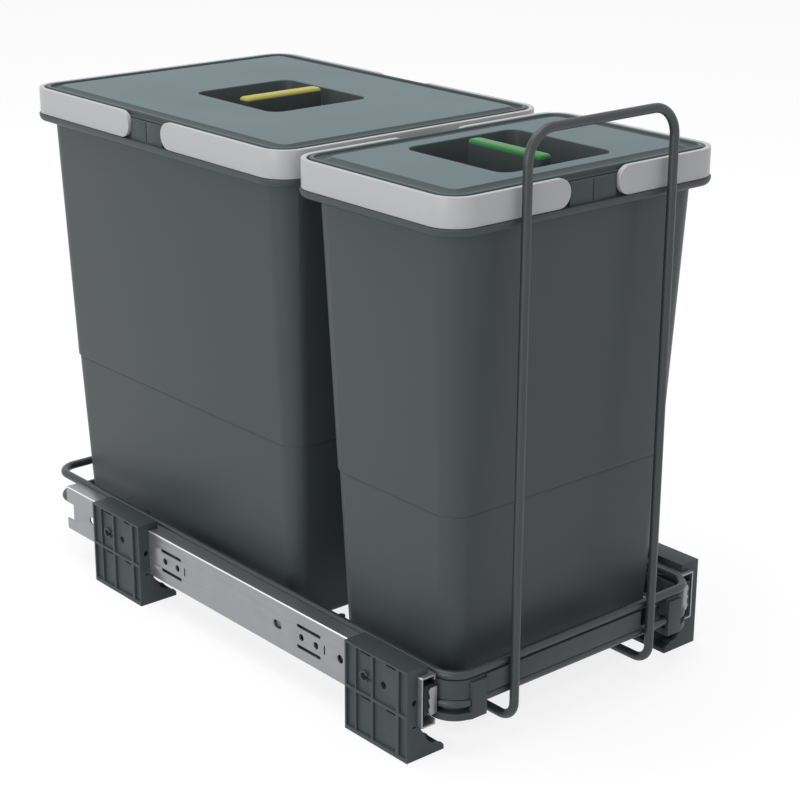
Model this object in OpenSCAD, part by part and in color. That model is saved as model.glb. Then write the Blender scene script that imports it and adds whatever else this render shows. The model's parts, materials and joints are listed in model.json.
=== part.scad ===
// Pull out waste sorter for a narrow kitchen cabinet.
// Two lidded bins stand in a wire carriage. The carriage runs on a pair of ball
// bearing rails, and four floor brackets hold the rails.
// The origin is on the floor under the middle: X to the right, Y to the rear, Z up.

/* [Overall] */
// Width over the outer faces of the floor brackets
unit_w = 264; // [258:1:290]
// Depth of the small front bin over its handles
small_d = 150; // [142:1:190]
// Depth of the large rear bin over its handles
large_d = 297; // [270:1:340]
// Gap between the handles of the two bins
bin_gap = 9; // [8:0.5:16]
// Height of the rim of the bins above the floor
rim_z = 355.5; // [330:0.5:380]

/* [Floor brackets] */
// Length of a bracket along the rail
bracket_l = 60.5; // [56:0.5:70]
// Height of a bracket
bracket_h = 62.3; // [60.5:0.1:68]
// Thickness of the wall outside the rail
bracket_wall = 8.6; // [7.6:0.1:10]
// Reach of the foot from the outer face
foot_reach = 30.5; // [28:0.5:36]
// Thickness of the foot plate
foot_t = 2.9; // [2.4:0.1:3.6]
// Reach of the lip over the rail from the outer face
lip_reach = 16.5; // [14:0.5:18]
// Thickness of the lip over the rail
lip_t = 4.9; // [4:0.1:5.8]
// Diameter of a floor screw hole
foot_hole_d = 5; // [4:0.1:6]
// Thickness of a toothed rib over the foot
rib_t = 2.6; // [2:0.1:3.4]
// Distance from the front brackets to the rear ones
bracket_pitch = 293.9; // [260:0.1:320]
// Distance from the front of the hoop to the front brackets
bracket_setback = 23.9; // [22:0.1:32]

/* [Rails] */
// Height of the outer rail
rail_h = 34.6; // [33.6:0.1:35.4]
// Length of the outer rail
rail_l = 408.5; // [385:0.5:430]
// Sheet thickness of the outer rail
rail_t = 1.2; // [1:0.05:1.3]
// Depth of the outer rail from its web to its lips
rail_w = 11.5; // [11.4:0.05:11.6]
// Depth of the whole slide from the outer web to the face of the inner rail
slide_w = 11.9; // [11.8:0.05:12.4]
// Sheet thickness of the middle and inner rails
slide_t = 1; // [0.8:0.05:1.1]
// How far the rails stand out in front of the brackets
rail_overhang = 3.5; // [2:0.1:5]
// Diameter of the balls between the outer and middle rails
outer_ball_d = 3.2; // [2.8:0.1:3.4]
// Diameter of the balls between the middle and inner rails
inner_ball_d = 2.4; // [2.2:0.1:2.6]
// Number of balls in one row of a cage
ball_count = 7; // [4:1:8]
// Distance from ball to ball in a row
ball_pitch = 14; // [10:0.5:15]
// Full travel of the pull out
travel = 400; // [340:1:410]

/* [Wire carriage] */
// Diameter of the coated wire
wire_d = 6; // [5.4:0.1:6.4]
// Bend radius at the corners of the rings, on the wire's middle line
ring_corner_r = 15; // [12:0.5:18]
// Height of the upper ring
upper_wire_z = 56; // [54:0.1:60]
// Height of the lower ring
lower_wire_z = 36.5; // [35:0.1:38]
// Half the width of the front hoop, on the wire's middle line
hoop_half_w = 61.6; // [50:0.1:75]
// Height of the top of the hoop
hoop_h = 392; // [350:1:440]
// Bend radius of the upper corners of the hoop
hoop_corner_r = 19; // [12:0.5:30]
// Bend radius where the hoop turns back under the bins
hoop_bend_r = 12; // [9:0.5:13]
// Height of the runner wires under the bins
runner_z = 15.3; // [14:0.1:17]
// Diameter of the cross wires that carry the bins
cross_wire_d = 3; // [2.6:0.1:4]

/* [Bins] */
// Thickness of the bin walls
wall = 1.8; // [1.4:0.1:2.4]
// Height of the moulded step that runs round a bin
step_z = 152.3; // [120:0.1:200]
// Thickness of the ledge under the handles
ledge_t = 5; // [4:0.1:6]
// How far the ledge stands out beyond the handles
ledge_out = 1; // [0:0.1:2]
// Height of the handle bands
handle_h = 18.2; // [16:0.1:20]
// Thickness of the handle bands
handle_t = 3.5; // [3:0.1:4]
// Outer corner radius of the handle bands
handle_r = 20; // [18:0.5:24]
// Diameter of the handle pivots
pivot_d = 6; // [5:0.1:7]

/* [Lids] */
// Height of the raised lid panel above the rim
panel_rise = 0.6; // [0.2:0.1:2]
// Width from the edge of a lid to its raised panel
panel_margin = 9.5; // [8:0.1:12]
// Depth of the finger pockets
pocket_depth = 20; // [16:0.5:26]
// Width of the grip that divides a finger pocket
grip_w = 11; // [9:0.5:13]
// Length of the grips
grip_l = 66; // [56:1:72]

/* [Hidden] */
$fn = 48;
// Overrun of every cut past the face that it opens
over = 1;
// Gap between flat faces that only rest on each other
seat_gap = 0.2;
// Gap round parts that move past each other
run_gap = 0.3;
// Thickness of the slices that a lofted shell is drawn over
slice_t = 0.01;

// Overall depth, from the front of the hoop to the rear of the rings
hoop_gap = 2.3;
rear_margin = 4.7;
unit_d = wire_d + hoop_gap + small_d + bin_gap + large_d + rear_margin;
front_y = -unit_d / 2;
small_y = front_y + wire_d + hoop_gap + small_d / 2;
large_y = small_y + small_d / 2 + bin_gap + large_d / 2;

// Brackets and the rail seat between their foot and lip
bracket_y = front_y + bracket_setback;
bracket_places = [bracket_y, bracket_y + bracket_pitch];
rail_z = bracket_h - lip_t - run_gap - rail_h / 2;
rail_x = -unit_w / 2 + bracket_wall;
rail_y = bracket_y - rail_overhang;
gusset_top = rail_z - rail_h / 2 - run_gap;
// Outline of a toothed rib, as shares of its reach and height
gusset_share = [[1, 0], [0.94, 0.09], [0.86, 0.12], [0.79, 0.16], [0.73, 0.23], [0.67, 0.26],
                [0.6, 0.24], [0.53, 0.27], [0.45, 0.3], [0.41, 0.38], [0.37, 0.44], [0.33, 0.49],
                [0.32, 0.55], [0.28, 0.6], [0.26, 0.66], [0.25, 0.73], [0.2, 0.75], [0.18, 0.82],
                [0.14, 0.86], [0.13, 0.93], [0.09, 1]];
// Front and rear ends of the pockets in the outer face, as shares of the length
pocket_end_share = [[0.02, 0.134], [0.18, 0.54], [0.575, 0.812], [0.833, 0.975]];
pocket_depth_out = 1.9;
bracket_rim = 1.3;
bracket_sill = 3;
mid_rib_z = 31;
mid_rib_t = 2;
rib_count = 5;
eye_rise = 4;
eye_share = [0.41, 0.695];
eye_boss_d = 8;
eye_mouth = 2.4;
tick_share = 0.6;
tick_l = 7;
tick_w = 1.5;
tick_drop = 2;
hook_slot_share = [0.28, 0.69];
hook_slot_l = 10;
hook_slot_h = 1.6;
low_slot_h = 2.4;
hook_slot_drop = 2.5;
end_hole_share = 0.7;
end_hole_d = 4;
end_hole_l = 10;
end_notch_w = 2.6;
end_notch_h = 1.2;
end_notch_l = 3;
foot_hole_bays = [0, 3];

// Punchings in the outer rail web
punch_gap = 14.9;
punch_slot_l = 25;
punch_slot_w = 2.6;
punch_hole_d = 5;
punch_hole_gap = 15.4;
punch_tick_l = 6.6;
punch_tick_w = 1.4;
punch_places = [108.3, 266.1];
oblong_y = 141.8;
oblong_l = 9;
oblong_w = 5.8;
web_hole_places = [75.6, 370.5];
web_hole_d = 6;
notch_l = 9;
notch_top = 44.8;
notch_bottom = 31.4;

// Screws that hold the rail to the bracket
rail_screw_d = 4;
rail_screw_head_d = 8;
rail_screw_head_t = 0.8;
rail_screw_play = 0.1;
rail_screw_l = 7;
rail_screw_share = [0.2, 0.8];

// Nested members of the slide, measured inwards from the outer web
ball_play = 0.05;
cage_t = 0.5;
cage_u = rail_t + rail_screw_head_t + seat_gap;
middle_u = cage_u + cage_t + 0.5 * slide_t;
inner_cage_u = middle_u + slide_t + 0.4 * slide_t;
inner_u = inner_cage_u + cage_t + slide_t;
outer_ball_z = rail_h / 2 - rail_t - ball_play - outer_ball_d / 2;
middle_h = 2 * (outer_ball_z - outer_ball_d / 2 - ball_play);
inner_ball_z = middle_h / 2 - slide_t - ball_play - inner_ball_d / 2;
inner_h = 2 * (inner_ball_z - inner_ball_d / 2 - ball_play);
middle_w = 6.8;
outer_lip = 2.5;
middle_lip = 1.2;
outer_ball_u = middle_u + middle_w * 0.45;
inner_ball_u = inner_u + inner_ball_d * 0.55;
cage_hole_play = 0.2;
cage_l = ball_pitch * ball_count + ball_pitch / 2;
middle_setback = 6;
slide_l = rail_l - 52;
cage_y = rail_y + travel / 4 + 33;
buffer_cap_t = 1.5;
tab_out = 1;
tab_lobe_d = 4.6;
tab_lobe_out = 0.8;
tab_lobe_gap = 6.2;

// Wire rings and hoop, on the wire's middle line
weld_gap = 0.02;
ring_half_w = -rail_x - slide_w - wire_d / 2 - weld_gap;
ring_front_y = front_y + wire_d * 1.5 + weld_gap;
ring_rear_y = unit_d / 2 - wire_d / 2;
ring_l = ring_rear_y - ring_front_y;
ring_y = (ring_rear_y + ring_front_y) / 2;
hoop_y = front_y + wire_d / 2;
hoop_top_z = hoop_h - wire_d / 2;
rise_y = ring_rear_y - wire_d - weld_gap;
rise_top = upper_wire_z + wire_d / 2;
cross_wire_share = [0.19, 0.72];
cross_bend_r = 14;
stub_d = 5;
stub_share = [0.25, 0.75];

// Front strip and corner clips
strip_t = 2.5;
strip_top = upper_wire_z - wire_d / 2 - seat_gap;
strip_low = lower_wire_z + wire_d / 2 + seat_gap;
clip_plate_w = 12.2;
clip_plate_t = 3;
clip_plate_out = 0.8;
clip_plate_set = 25.68;
clip_plate_x = ring_half_w - clip_plate_set;
clip_top_z = 51;
clip_base_z = 26;
clip_base_t = 4.7;
clip_base_w = 15;
clip_fill_set = 1.4;
skirt_angle = 236;
clip_wall_t = 2;
clip_leg = 26;
clip_block_l = 10;
clip_block_h = 9;
clip_screw_z = (upper_wire_z + lower_wire_z) / 2;
clip_screw_d = 3;
clip_screw_l = clip_wall_t + wire_d + 2 * slide_t + 2 * seat_gap;
clip_screw_head_d = 5.5;
clip_screw_head_t = 1.8;
clip_block_y = ring_front_y - wire_d / 2 + clip_leg - clip_block_l;
strip_right_x = 56.3;

// Bin bodies: how far the body stands back from the handles, and its draft
handle_side_gap = 17;
bin_w = unit_w - 2 * handle_side_gap;
small_set = [10, 8.3, 7.8];
large_set = [10, 8.7, 5.2];
small_draft = [8.5, 7.4];
large_draft = [8, 4.7];
lower_draft = 5.3;
step_in = 0.8;
body_r = 18;
step_r = 14;
foot_r = 12;
foot_edge = 3.2;
cross_wire_z = runner_z + wire_d / 2 + weld_gap + cross_wire_d / 2;
bin_bottom = cross_wire_z + cross_wire_d / 2 + seat_gap;
ledge_z = rim_z - handle_h - run_gap;
handle_z = ledge_z + run_gap;
pivot_z = handle_z + handle_h / 2;
pivot_play = 0.05;
rim_wall = 2;
rim_top = rim_z - 4;
rim_set = handle_t + run_gap;
land_set = 1.7;
land_gap = 1;
land_t = rim_set - land_set + rim_wall / 2;
seam_w = 1.2;
seam_depth = 0.8;
large_tip_gap = 38.4;
small_tip_gap = 41;
pivot_head_d = 8;
pivot_head_t = 1.2;

// Lids
lid_gap = 0.5;
lid_set = handle_t + lid_gap;
bead_d = 3.6;
bead_t = 2;
panel_slope = 4;
lid_plate_t = 2;
skirt_set = 4;
skirt_t = 1.5;
skirt_h = 10;
panel_z = rim_z + panel_rise;
lid_z = rim_top + seat_gap / 2;
large_pocket = [83, 94];
small_pocket = [94, 91];
pocket_r = 9;
cap_h = 3.4;
cap_rise = 2.4;
tongue_w = 2;
tongue_h = 4;

// Rounded rectangle round the origin
module rounded_rect(w, d, r) {
    square([w - 2 * r, d], center = true);
    square([w, d - 2 * r], center = true);
    for (sx = [-1, 1], sy = [-1, 1])
        translate([sx * (w / 2 - r), sy * (d / 2 - r)])
            circle(r);
}

// Slot with round ends, its length along the first axis
module slot_shape(l, w) {
    square([l - w, w], center = true);
    for (s = [-1, 1])
        translate([s * (l - w) / 2, 0])
            circle(d = w);
}

// Extrudes a drawing of X and Z along Y
module along_y(y, l) {
    translate([0, y + l, 0])
        rotate([90, 0, 0])
            linear_extrude(l)
                children();
}

// Extrudes a drawing of Y and Z along X
module along_x(x, l) {
    translate([x, 0, 0])
        rotate([90, 0, 90])
            linear_extrude(l)
                children();
}

// Left hand part as drawn, or its mirror image on the right
module on_side(side) {
    if (side < 0)
        children();
    else
        mirror([1, 0, 0])
            children();
}

// Wire bent round a rounded rectangle, sizes on the wire's middle line
module wire_loop(w, d, r, t) {
    for (s = [-1, 1]) {
        translate([s * w / 2, r - d / 2, 0])
            rotate([-90, 0, 0])
                cylinder(h = d - 2 * r, d = t);
        translate([r - w / 2, s * d / 2, 0])
            rotate([0, 90, 0])
                cylinder(h = w - 2 * r, d = t);
    }
    for (turn = [0 : 90 : 270])
        translate([(turn == 0 || turn == 270 ? 1 : -1) * (w / 2 - r),
                   (turn < 180 ? 1 : -1) * (d / 2 - r), 0])
            rotate(turn)
                rotate_extrude(angle = 90)
                    translate([r, 0])
                        circle(d = t);
}

// Cross section of a rail member: a channel that opens inwards, with lips
module channel(h, w, t, lip, r) {
    difference() {
        union() {
            translate([r, -h / 2])
                square([w - r, h]);
            translate([0, r - h / 2])
                square([r, h - 2 * r]);
            for (s = [-1, 1])
                translate([r, s * (h / 2 - r)])
                    circle(r);
        }
        translate([t, t - h / 2])
            square([w - 2 * t, h - 2 * t]);
        translate([w - t - over, t + lip - h / 2])
            square([t + 2 * over, h - 2 * t - 2 * lip]);
    }
}

// Pocket columns and rows in the outer face of a bracket
module bracket_pockets() {
    rows = [[bracket_sill, mid_rib_z - mid_rib_t / 2],
            [mid_rib_z + mid_rib_t / 2, bracket_h - bracket_rim]];
    for (row = rows, column = pocket_end_share)
        translate([-over, column[0] * bracket_l, row[0]])
            cube([pocket_depth_out + over, (column[1] - column[0]) * bracket_l, row[1] - row[0]]);
}

// Toothed rib over the foot
module gusset_rib(y) {
    reach = foot_reach - bracket_wall;
    rise = gusset_top - foot_t;
    along_y(y, rib_t)
        polygon(concat([[bracket_wall - over, 0], [foot_reach, 0]],
                       [for (p = gusset_share) [bracket_wall + p[0] * reach, foot_t + p[1] * rise]],
                       [[bracket_wall - over, gusset_top]]));
}

// Floor bracket for the left side, drawn from its outer front corner
module bracket(side, y) {
    slot_deep = bracket_wall / 2;
    bay = (bracket_l - rib_t) / (rib_count - 1);
    eye_z = rail_z + eye_rise;
    eye_y = bracket_l * eye_share[0];
    boss_y = bracket_l * eye_share[1];
    hook_rows = [[bracket_h - lip_t * 0.63, hook_slot_h], [mid_rib_z - hook_slot_drop, low_slot_h]];
    end_x = bracket_wall * end_hole_share;
    color([0.29, 0.32, 0.32])
        on_side(side)
            translate([-unit_w / 2, y, 0]) {
                difference() {
                    union() {
                        cube([bracket_wall, bracket_l, bracket_h]);
                        translate([0, 0, bracket_h - lip_t])
                            cube([lip_reach, bracket_l, lip_t]);
                        cube([foot_reach, bracket_l, foot_t]);
                        for (i = [0 : rib_count - 1])
                            gusset_rib(i * bay);
                    }
                    difference() {
                        bracket_pockets();
                        translate([-over, boss_y, eye_z])
                            rotate([0, 90, 0])
                                cylinder(h = pocket_depth_out + 2 * over, d = eye_boss_d);
                    }
                    translate([-over, boss_y - eye_boss_d, eye_z - eye_mouth / 2])
                        cube([pocket_depth_out + over, eye_boss_d, eye_mouth]);
                    translate([-over, tick_share * bracket_l - tick_w / 2, eye_z - tick_drop - tick_l / 2])
                        cube([slot_deep + over, tick_w, tick_l]);
                    for (share = hook_slot_share, row = hook_rows)
                        translate([-over, share * bracket_l - hook_slot_l / 2, row[0] - row[1] / 2])
                            cube([slot_deep + over, hook_slot_l, row[1]]);
                    translate([-over, eye_y, eye_z])
                        rotate([0, 90, 0])
                            cylinder(h = bracket_wall + 2 * over, d = foot_hole_d);
                    translate([-over, boss_y, eye_z])
                        rotate([0, 90, 0])
                            cylinder(h = slot_deep + over, d = foot_hole_d);
                    for (share = rail_screw_share)
                        translate([bracket_wall - rail_screw_l + rail_t, share * bracket_l, rail_z])
                            rotate([0, 90, 0])
                                cylinder(h = rail_screw_l, d = rail_screw_d + rail_screw_play);
                    for (i = foot_hole_bays)
                        translate([(foot_reach + bracket_wall) / 2, (i + 0.5) * bay + rib_t / 2, -over])
                            cylinder(h = foot_t + 2 * over, d = foot_hole_d);
                    translate([end_x, -over, rail_z])
                        rotate([-90, 0, 0])
                            cylinder(h = end_hole_l, d = end_hole_d);
                    translate([end_x - end_notch_w / 2, -over, gusset_top + end_notch_h / 2])
                        cube([end_notch_w, end_notch_l + over, end_notch_h]);
                }
            }
}

// One group of punchings, drawn in Y and Z round its middle
module punch_group() {
    for (s = [-1, 1]) {
        translate([0, s * punch_gap / 2])
            slot_shape(punch_slot_l, punch_slot_w);
        translate([s * punch_hole_gap / 2, 0])
            circle(d = punch_hole_d);
    }
    translate([-punch_slot_l / 2 - 2 * punch_slot_w / 2 - punch_tick_w, 0])
        rotate(90)
            slot_shape(punch_tick_l, punch_tick_w);
}

// Outer member of the slide, screwed to the brackets
module outer_rail(side) {
    color([0.68, 0.69, 0.7])
        on_side(side)
            difference() {
                translate([rail_x, 0, rail_z])
                    along_y(rail_y, rail_l)
                        channel(rail_h, rail_w, rail_t, outer_lip, rail_t);
                for (y = punch_places)
                    translate([rail_x - over, bracket_y + y, rail_z])
                        along_x(0, rail_t + 2 * over)
                            punch_group();
                translate([rail_x - over, bracket_y + oblong_y, rail_z])
                    along_x(0, rail_t + 2 * over)
                        slot_shape(oblong_l, oblong_w);
                for (y = web_hole_places)
                    translate([rail_x - over, bracket_y + y, rail_z])
                        rotate([0, 90, 0])
                            cylinder(h = rail_t + 2 * over, d = web_hole_d);
                for (place = bracket_places, share = rail_screw_share)
                    translate([rail_x - over, place + share * bracket_l, rail_z])
                        rotate([0, 90, 0])
                            cylinder(h = rail_t + 2 * over, d = rail_screw_d + rail_screw_play);
                translate([rail_x - over, rail_y + rail_l - notch_l, notch_bottom])
                    cube([rail_t + 2 * over, notch_l + over, notch_top - notch_bottom]);
            }
}

// Low headed screws from the rail web into the brackets
module rail_screws() {
    color([0.75, 0.75, 0.76])
        for (side = [-1, 1], place = bracket_places, share = rail_screw_share)
            on_side(side)
                translate([rail_x + rail_t, place + share * bracket_l, rail_z]) {
                    rotate([0, 90, 0])
                        cylinder(h = rail_screw_head_t, d = rail_screw_head_d);
                    rotate([0, -90, 0])
                        cylinder(h = rail_screw_l - seat_gap, d = rail_screw_d);
                }
}

// Ball cage: a thin channel whose flanges carry a row of holes each
module cage(side, u, reach, z, ball_d, ball_u) {
    color([0.55, 0.56, 0.57])
        on_side(side)
            difference() {
                translate([rail_x + u, 0, rail_z])
                    along_y(cage_y, cage_l) {
                        translate([0, -z - cage_t / 2])
                            square([cage_t, 2 * z + cage_t]);
                        for (s = [-1, 1])
                            translate([0, s * z - cage_t / 2])
                                square([reach, cage_t]);
                    }
                for (i = [0 : ball_count - 1], s = [-1, 1])
                    translate([rail_x + ball_u, ball_row_y(i), rail_z + s * z - over])
                        cylinder(h = 2 * over, d = ball_d + cage_hole_play);
            }
}

function ball_row_y(i) = cage_y + (i + 0.75) * ball_pitch;

// Both rows of balls of one cage
module balls(side, z, ball_d, ball_u) {
    color([0.85, 0.85, 0.86])
        on_side(side)
            for (i = [0 : ball_count - 1], s = [-1, 1])
                translate([rail_x + ball_u, ball_row_y(i), rail_z + s * z])
                    sphere(d = ball_d, $fn = 24);
}

module outer_cage(side) {
    cage(side, cage_u, outer_ball_u - cage_u + outer_ball_d * 0.8, outer_ball_z, outer_ball_d, outer_ball_u);
}

module inner_cage(side) {
    cage(side, inner_cage_u, inner_ball_u - inner_cage_u + inner_ball_d * 0.6, inner_ball_z,
         inner_ball_d, inner_ball_u);
}

// Middle member of the slide
module middle_rail(side) {
    color([0.62, 0.63, 0.64])
        on_side(side)
            translate([rail_x + middle_u, 0, rail_z])
                along_y(rail_y + middle_setback, slide_l)
                    channel(middle_h, middle_w, slide_t, middle_lip, slide_t);
}

// Plastic buffer on the front end of the middle member
module middle_buffer(side) {
    thick = inner_u - cage_u - 2 * seat_gap;
    color([0.13, 0.14, 0.15])
        on_side(side)
            translate([rail_x + cage_u + seat_gap, rail_y + seat_gap, rail_z]) {
                translate([0, 0, -inner_h / 2])
                    cube([thick, middle_setback - 2 * seat_gap, inner_h + run_gap + buffer_cap_t]);
                translate([0, 0, inner_h / 2 + run_gap])
                    cube([rail_w - cage_u - seat_gap, middle_setback - 2 * seat_gap, buffer_cap_t]);
            }
}

// Inner member of the slide, with a bent tab that closes its front end
module inner_rail(side) {
    color([0.7, 0.71, 0.72])
        on_side(side) {
            difference() {
                translate([rail_x + slide_w, 0, rail_z])
                    mirror([1, 0, 0])
                        along_y(rail_y + slide_t, slide_l + middle_setback - slide_t)
                            channel(inner_h, slide_w - inner_u, slide_t, 0, slide_t);
                clip_screw(rail_screw_play);
            }
            translate([rail_x + inner_u, rail_y - tab_out, rail_z - inner_h / 2])
                cube([slide_w - inner_u, slide_t, inner_h]);
            for (i = [-1 : 1])
                translate([rail_x + inner_u - tab_lobe_out + tab_lobe_d / 2, rail_y - tab_out,
                           rail_z + i * tab_lobe_gap])
                    rotate([-90, 0, 0])
                        cylinder(h = slide_t, d = tab_lobe_d);
            translate([rail_x + slide_w - slide_t, rail_y - tab_out, rail_z - inner_h / 2])
                cube([slide_t, 3 * slide_t, inner_h]);
        }
}

module upper_wire_ring() {
    color([0.25, 0.28, 0.28])
        translate([0, ring_y, upper_wire_z])
            wire_loop(2 * ring_half_w, ring_l, ring_corner_r, wire_d);
}

module lower_wire_ring() {
    color([0.25, 0.28, 0.28])
        translate([0, ring_y, lower_wire_z])
            wire_loop(2 * ring_half_w, ring_l, ring_corner_r, wire_d);
}

// Quarter bend of the wire in the Y and Z plane, turned about its own middle
module wire_bend(r, turn) {
    rotate([90, 0, 90])
        rotate(turn)
            rotate_extrude(angle = 90)
                translate([r, 0])
                    circle(d = wire_d);
}

// Hoop at the front, whose ends turn back under the bins and rise at the rear
module front_hoop() {
    post_bottom = runner_z + hoop_bend_r;
    color([0.25, 0.28, 0.28]) {
        translate([hoop_corner_r - hoop_half_w, hoop_y, hoop_top_z])
            rotate([0, 90, 0])
                cylinder(h = 2 * (hoop_half_w - hoop_corner_r), d = wire_d);
        for (side = [-1, 1])
            on_side(side) {
                translate([hoop_corner_r - hoop_half_w, hoop_y, hoop_top_z - hoop_corner_r])
                    rotate([90, 0, 0])
                        rotate(90)
                            rotate_extrude(angle = 90)
                                translate([hoop_corner_r, 0])
                                    circle(d = wire_d);
                translate([-hoop_half_w, hoop_y, post_bottom])
                    cylinder(h = hoop_top_z - hoop_corner_r - post_bottom, d = wire_d);
                translate([-hoop_half_w, hoop_y + hoop_bend_r, post_bottom])
                    wire_bend(hoop_bend_r, 180);
                translate([-hoop_half_w, hoop_y + hoop_bend_r, runner_z])
                    rotate([-90, 0, 0])
                        cylinder(h = rise_y - hoop_y - 2 * hoop_bend_r, d = wire_d);
                translate([-hoop_half_w, rise_y - hoop_bend_r, post_bottom])
                    wire_bend(hoop_bend_r, 270);
                translate([-hoop_half_w, rise_y, post_bottom])
                    cylinder(h = rise_top - post_bottom, d = wire_d);
            }
    }
}

// Thin cross wires over the runners, bent up to the lower ring at both ends
module cross_wires() {
    end_x = ring_half_w - (wire_d + cross_wire_d) / 2 - weld_gap;
    ring_top = lower_wire_z + wire_d / 2;
    color([0.25, 0.28, 0.28])
        for (share = cross_wire_share)
            translate([0, ring_front_y + share * ring_l, 0]) {
                translate([cross_bend_r - end_x, 0, cross_wire_z])
                    rotate([0, 90, 0])
                        cylinder(h = 2 * (end_x - cross_bend_r), d = cross_wire_d);
                for (side = [-1, 1])
                    on_side(side) {
                        translate([cross_bend_r - end_x, 0, cross_wire_z + cross_bend_r])
                            rotate([90, 0, 0])
                                rotate(180)
                                    rotate_extrude(angle = 90)
                                        translate([cross_bend_r, 0])
                                            circle(d = cross_wire_d);
                        translate([-end_x, 0, cross_wire_z + cross_bend_r])
                            cylinder(h = ring_top - cross_wire_z - cross_bend_r, d = cross_wire_d);
                    }
            }
}

// Upright stubs that tie the two rings together at the sides
module ring_stubs() {
    color([0.25, 0.28, 0.28])
        for (side = [-1, 1], share = stub_share)
            on_side(side)
                translate([-ring_half_w + (wire_d + stub_d) / 2 + weld_gap, ring_front_y + share * ring_l,
                           lower_wire_z - wire_d / 2])
                    cylinder(h = upper_wire_z - lower_wire_z + wire_d / 2, d = stub_d);
}

// Plastic strip that closes the front between the two rings
module front_strip() {
    x = clip_leg + seat_gap - ring_half_w;
    color([0.25, 0.28, 0.28])
        translate([x, ring_front_y - wire_d / 2, strip_low])
            cube([strip_right_x - x, strip_t, strip_top - strip_low]);
}

// Outline round the left front ring corner, at a distance inside the wire's outer side
module corner_outline(inset) {
    r = ring_corner_r + wire_d / 2 - inset;
    size = clip_leg + over;
    translate([-ring_half_w + ring_corner_r, ring_front_y + ring_corner_r]) {
        circle(r);
        translate([-r, 0])
            square([2 * r + size, size]);
        translate([0, -r])
            square([size, r + size]);
    }
}

// Corner band between two insets, cut off at the ends of the clip's legs
module corner_band(outer, inner) {
    intersection() {
        difference() {
            corner_outline(outer);
            corner_outline(inner);
        }
        translate([-ring_half_w - wire_d, ring_front_y - wire_d])
            square([clip_leg + wire_d, clip_leg + wire_d]);
    }
}

// Triangle that carries the curve of the clip's skirt on to the face of its plate
module clip_toe(front) {
    r = ring_corner_r + wire_d / 2;
    plate_left = -clip_plate_x - clip_plate_w;
    polygon([[-ring_half_w + ring_corner_r + r * cos(skirt_angle),
              ring_front_y + ring_corner_r + r * sin(skirt_angle)],
             [plate_left, front],
             [plate_left, front + clip_plate_t]]);
}

// Plastic clip that holds a front corner of the carriage to the inner rail
module corner_clip(side) {
    back = wire_d + seat_gap;
    front = ring_front_y - wire_d / 2 - clip_plate_out;
    color([0.22, 0.24, 0.25])
        on_side(side) {
            translate([0, 0, clip_base_z])
                linear_extrude(clip_base_t) {
                    corner_band(0, clip_base_w);
                    clip_toe(front);
                }
            difference() {
                union() {
                    translate([0, 0, clip_base_z])
                        linear_extrude(strip_top - clip_base_z)
                            corner_band(back, back + clip_wall_t);
                    translate([0, 0, strip_low])
                        linear_extrude(strip_top - strip_low)
                            corner_band(clip_fill_set, back + clip_wall_t);
                }
                clip_screw(rail_screw_play);
            }
            difference() {
                translate([-clip_plate_x - clip_plate_w, front, clip_base_z])
                    cube([clip_plate_w, clip_plate_t, clip_top_z - clip_base_z]);
                translate([-clip_plate_x - 2 * clip_plate_w, ring_front_y, lower_wire_z])
                    rotate([0, 90, 0])
                        cylinder(h = 3 * clip_plate_w, d = wire_d + 2 * seat_gap);
            }
            translate([-clip_plate_x - clip_plate_w, front, clip_base_z])
                cube([clip_plate_w, clip_base_w, clip_base_t]);
            difference() {
                translate([rail_x + slide_w + seat_gap, clip_block_y, clip_screw_z - clip_block_h / 2])
                    cube([back + clip_wall_t / 2 - seat_gap, clip_block_l, clip_block_h]);
                clip_screw(rail_screw_play);
            }
        }
}

// Screw from inside the clip's wall into the inner rail, with play round its shank
module clip_screw(play) {
    head_x = -ring_half_w + clip_wall_t + wire_d / 2 + seat_gap;
    translate([head_x, clip_block_y + clip_block_l / 2, clip_screw_z])
        rotate([0, -90, 0])
            cylinder(h = clip_screw_l, d = clip_screw_d + play);
}

// Screws that hold the clips to the inner rails
module clip_screws() {
    head_x = -ring_half_w + clip_wall_t + wire_d / 2 + seat_gap;
    color([0.75, 0.75, 0.76])
        for (side = [-1, 1])
            on_side(side) {
                clip_screw(0);
                translate([head_x, clip_block_y + clip_block_l / 2, clip_screw_z])
                    rotate([0, 90, 0])
                        cylinder(h = clip_screw_head_t, d = clip_screw_head_d);
            }
}

// Slice of a lofted shell
module slice(w, d, r, y, z) {
    translate([0, y, z])
        linear_extrude(slice_t)
            rounded_rect(w, d, r);
}

// Solid tub: the drafted lower part and the upper part over the step.
// The sizes are taken at the ledge, and shrink draws the inside of the walls
module tub(d, set, draft, shrink, top) {
    w_top = bin_w - 2 * (set[0] + shrink);
    d_top = d - set[1] - set[2] - 2 * shrink;
    y = (set[1] - set[2]) / 2;
    w_step = w_top - 2 * draft[0];
    d_step = d_top - 2 * draft[1];
    w_foot = w_step - 2 * (step_in + lower_draft);
    d_foot = d_step - 2 * (step_in + lower_draft);
    low = bin_bottom + shrink;
    step = step_z + (shrink > 0 ? wall : 0);
    hull() {
        slice(w_foot - 2 * foot_edge, d_foot - 2 * foot_edge, foot_r - foot_edge, y, low);
        slice(w_foot - foot_edge * 0.6, d_foot - foot_edge * 0.6, foot_r - foot_edge * 0.3, y,
              low + foot_edge * 0.3);
        slice(w_foot, d_foot, foot_r, y, low + foot_edge);
        slice(w_step - 2 * step_in, d_step - 2 * step_in, step_r, y, step - slice_t);
    }
    hull() {
        slice(w_step, d_step, step_r, y, step);
        slice(w_top, d_top, body_r - shrink, y, top - slice_t);
    }
}

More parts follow.
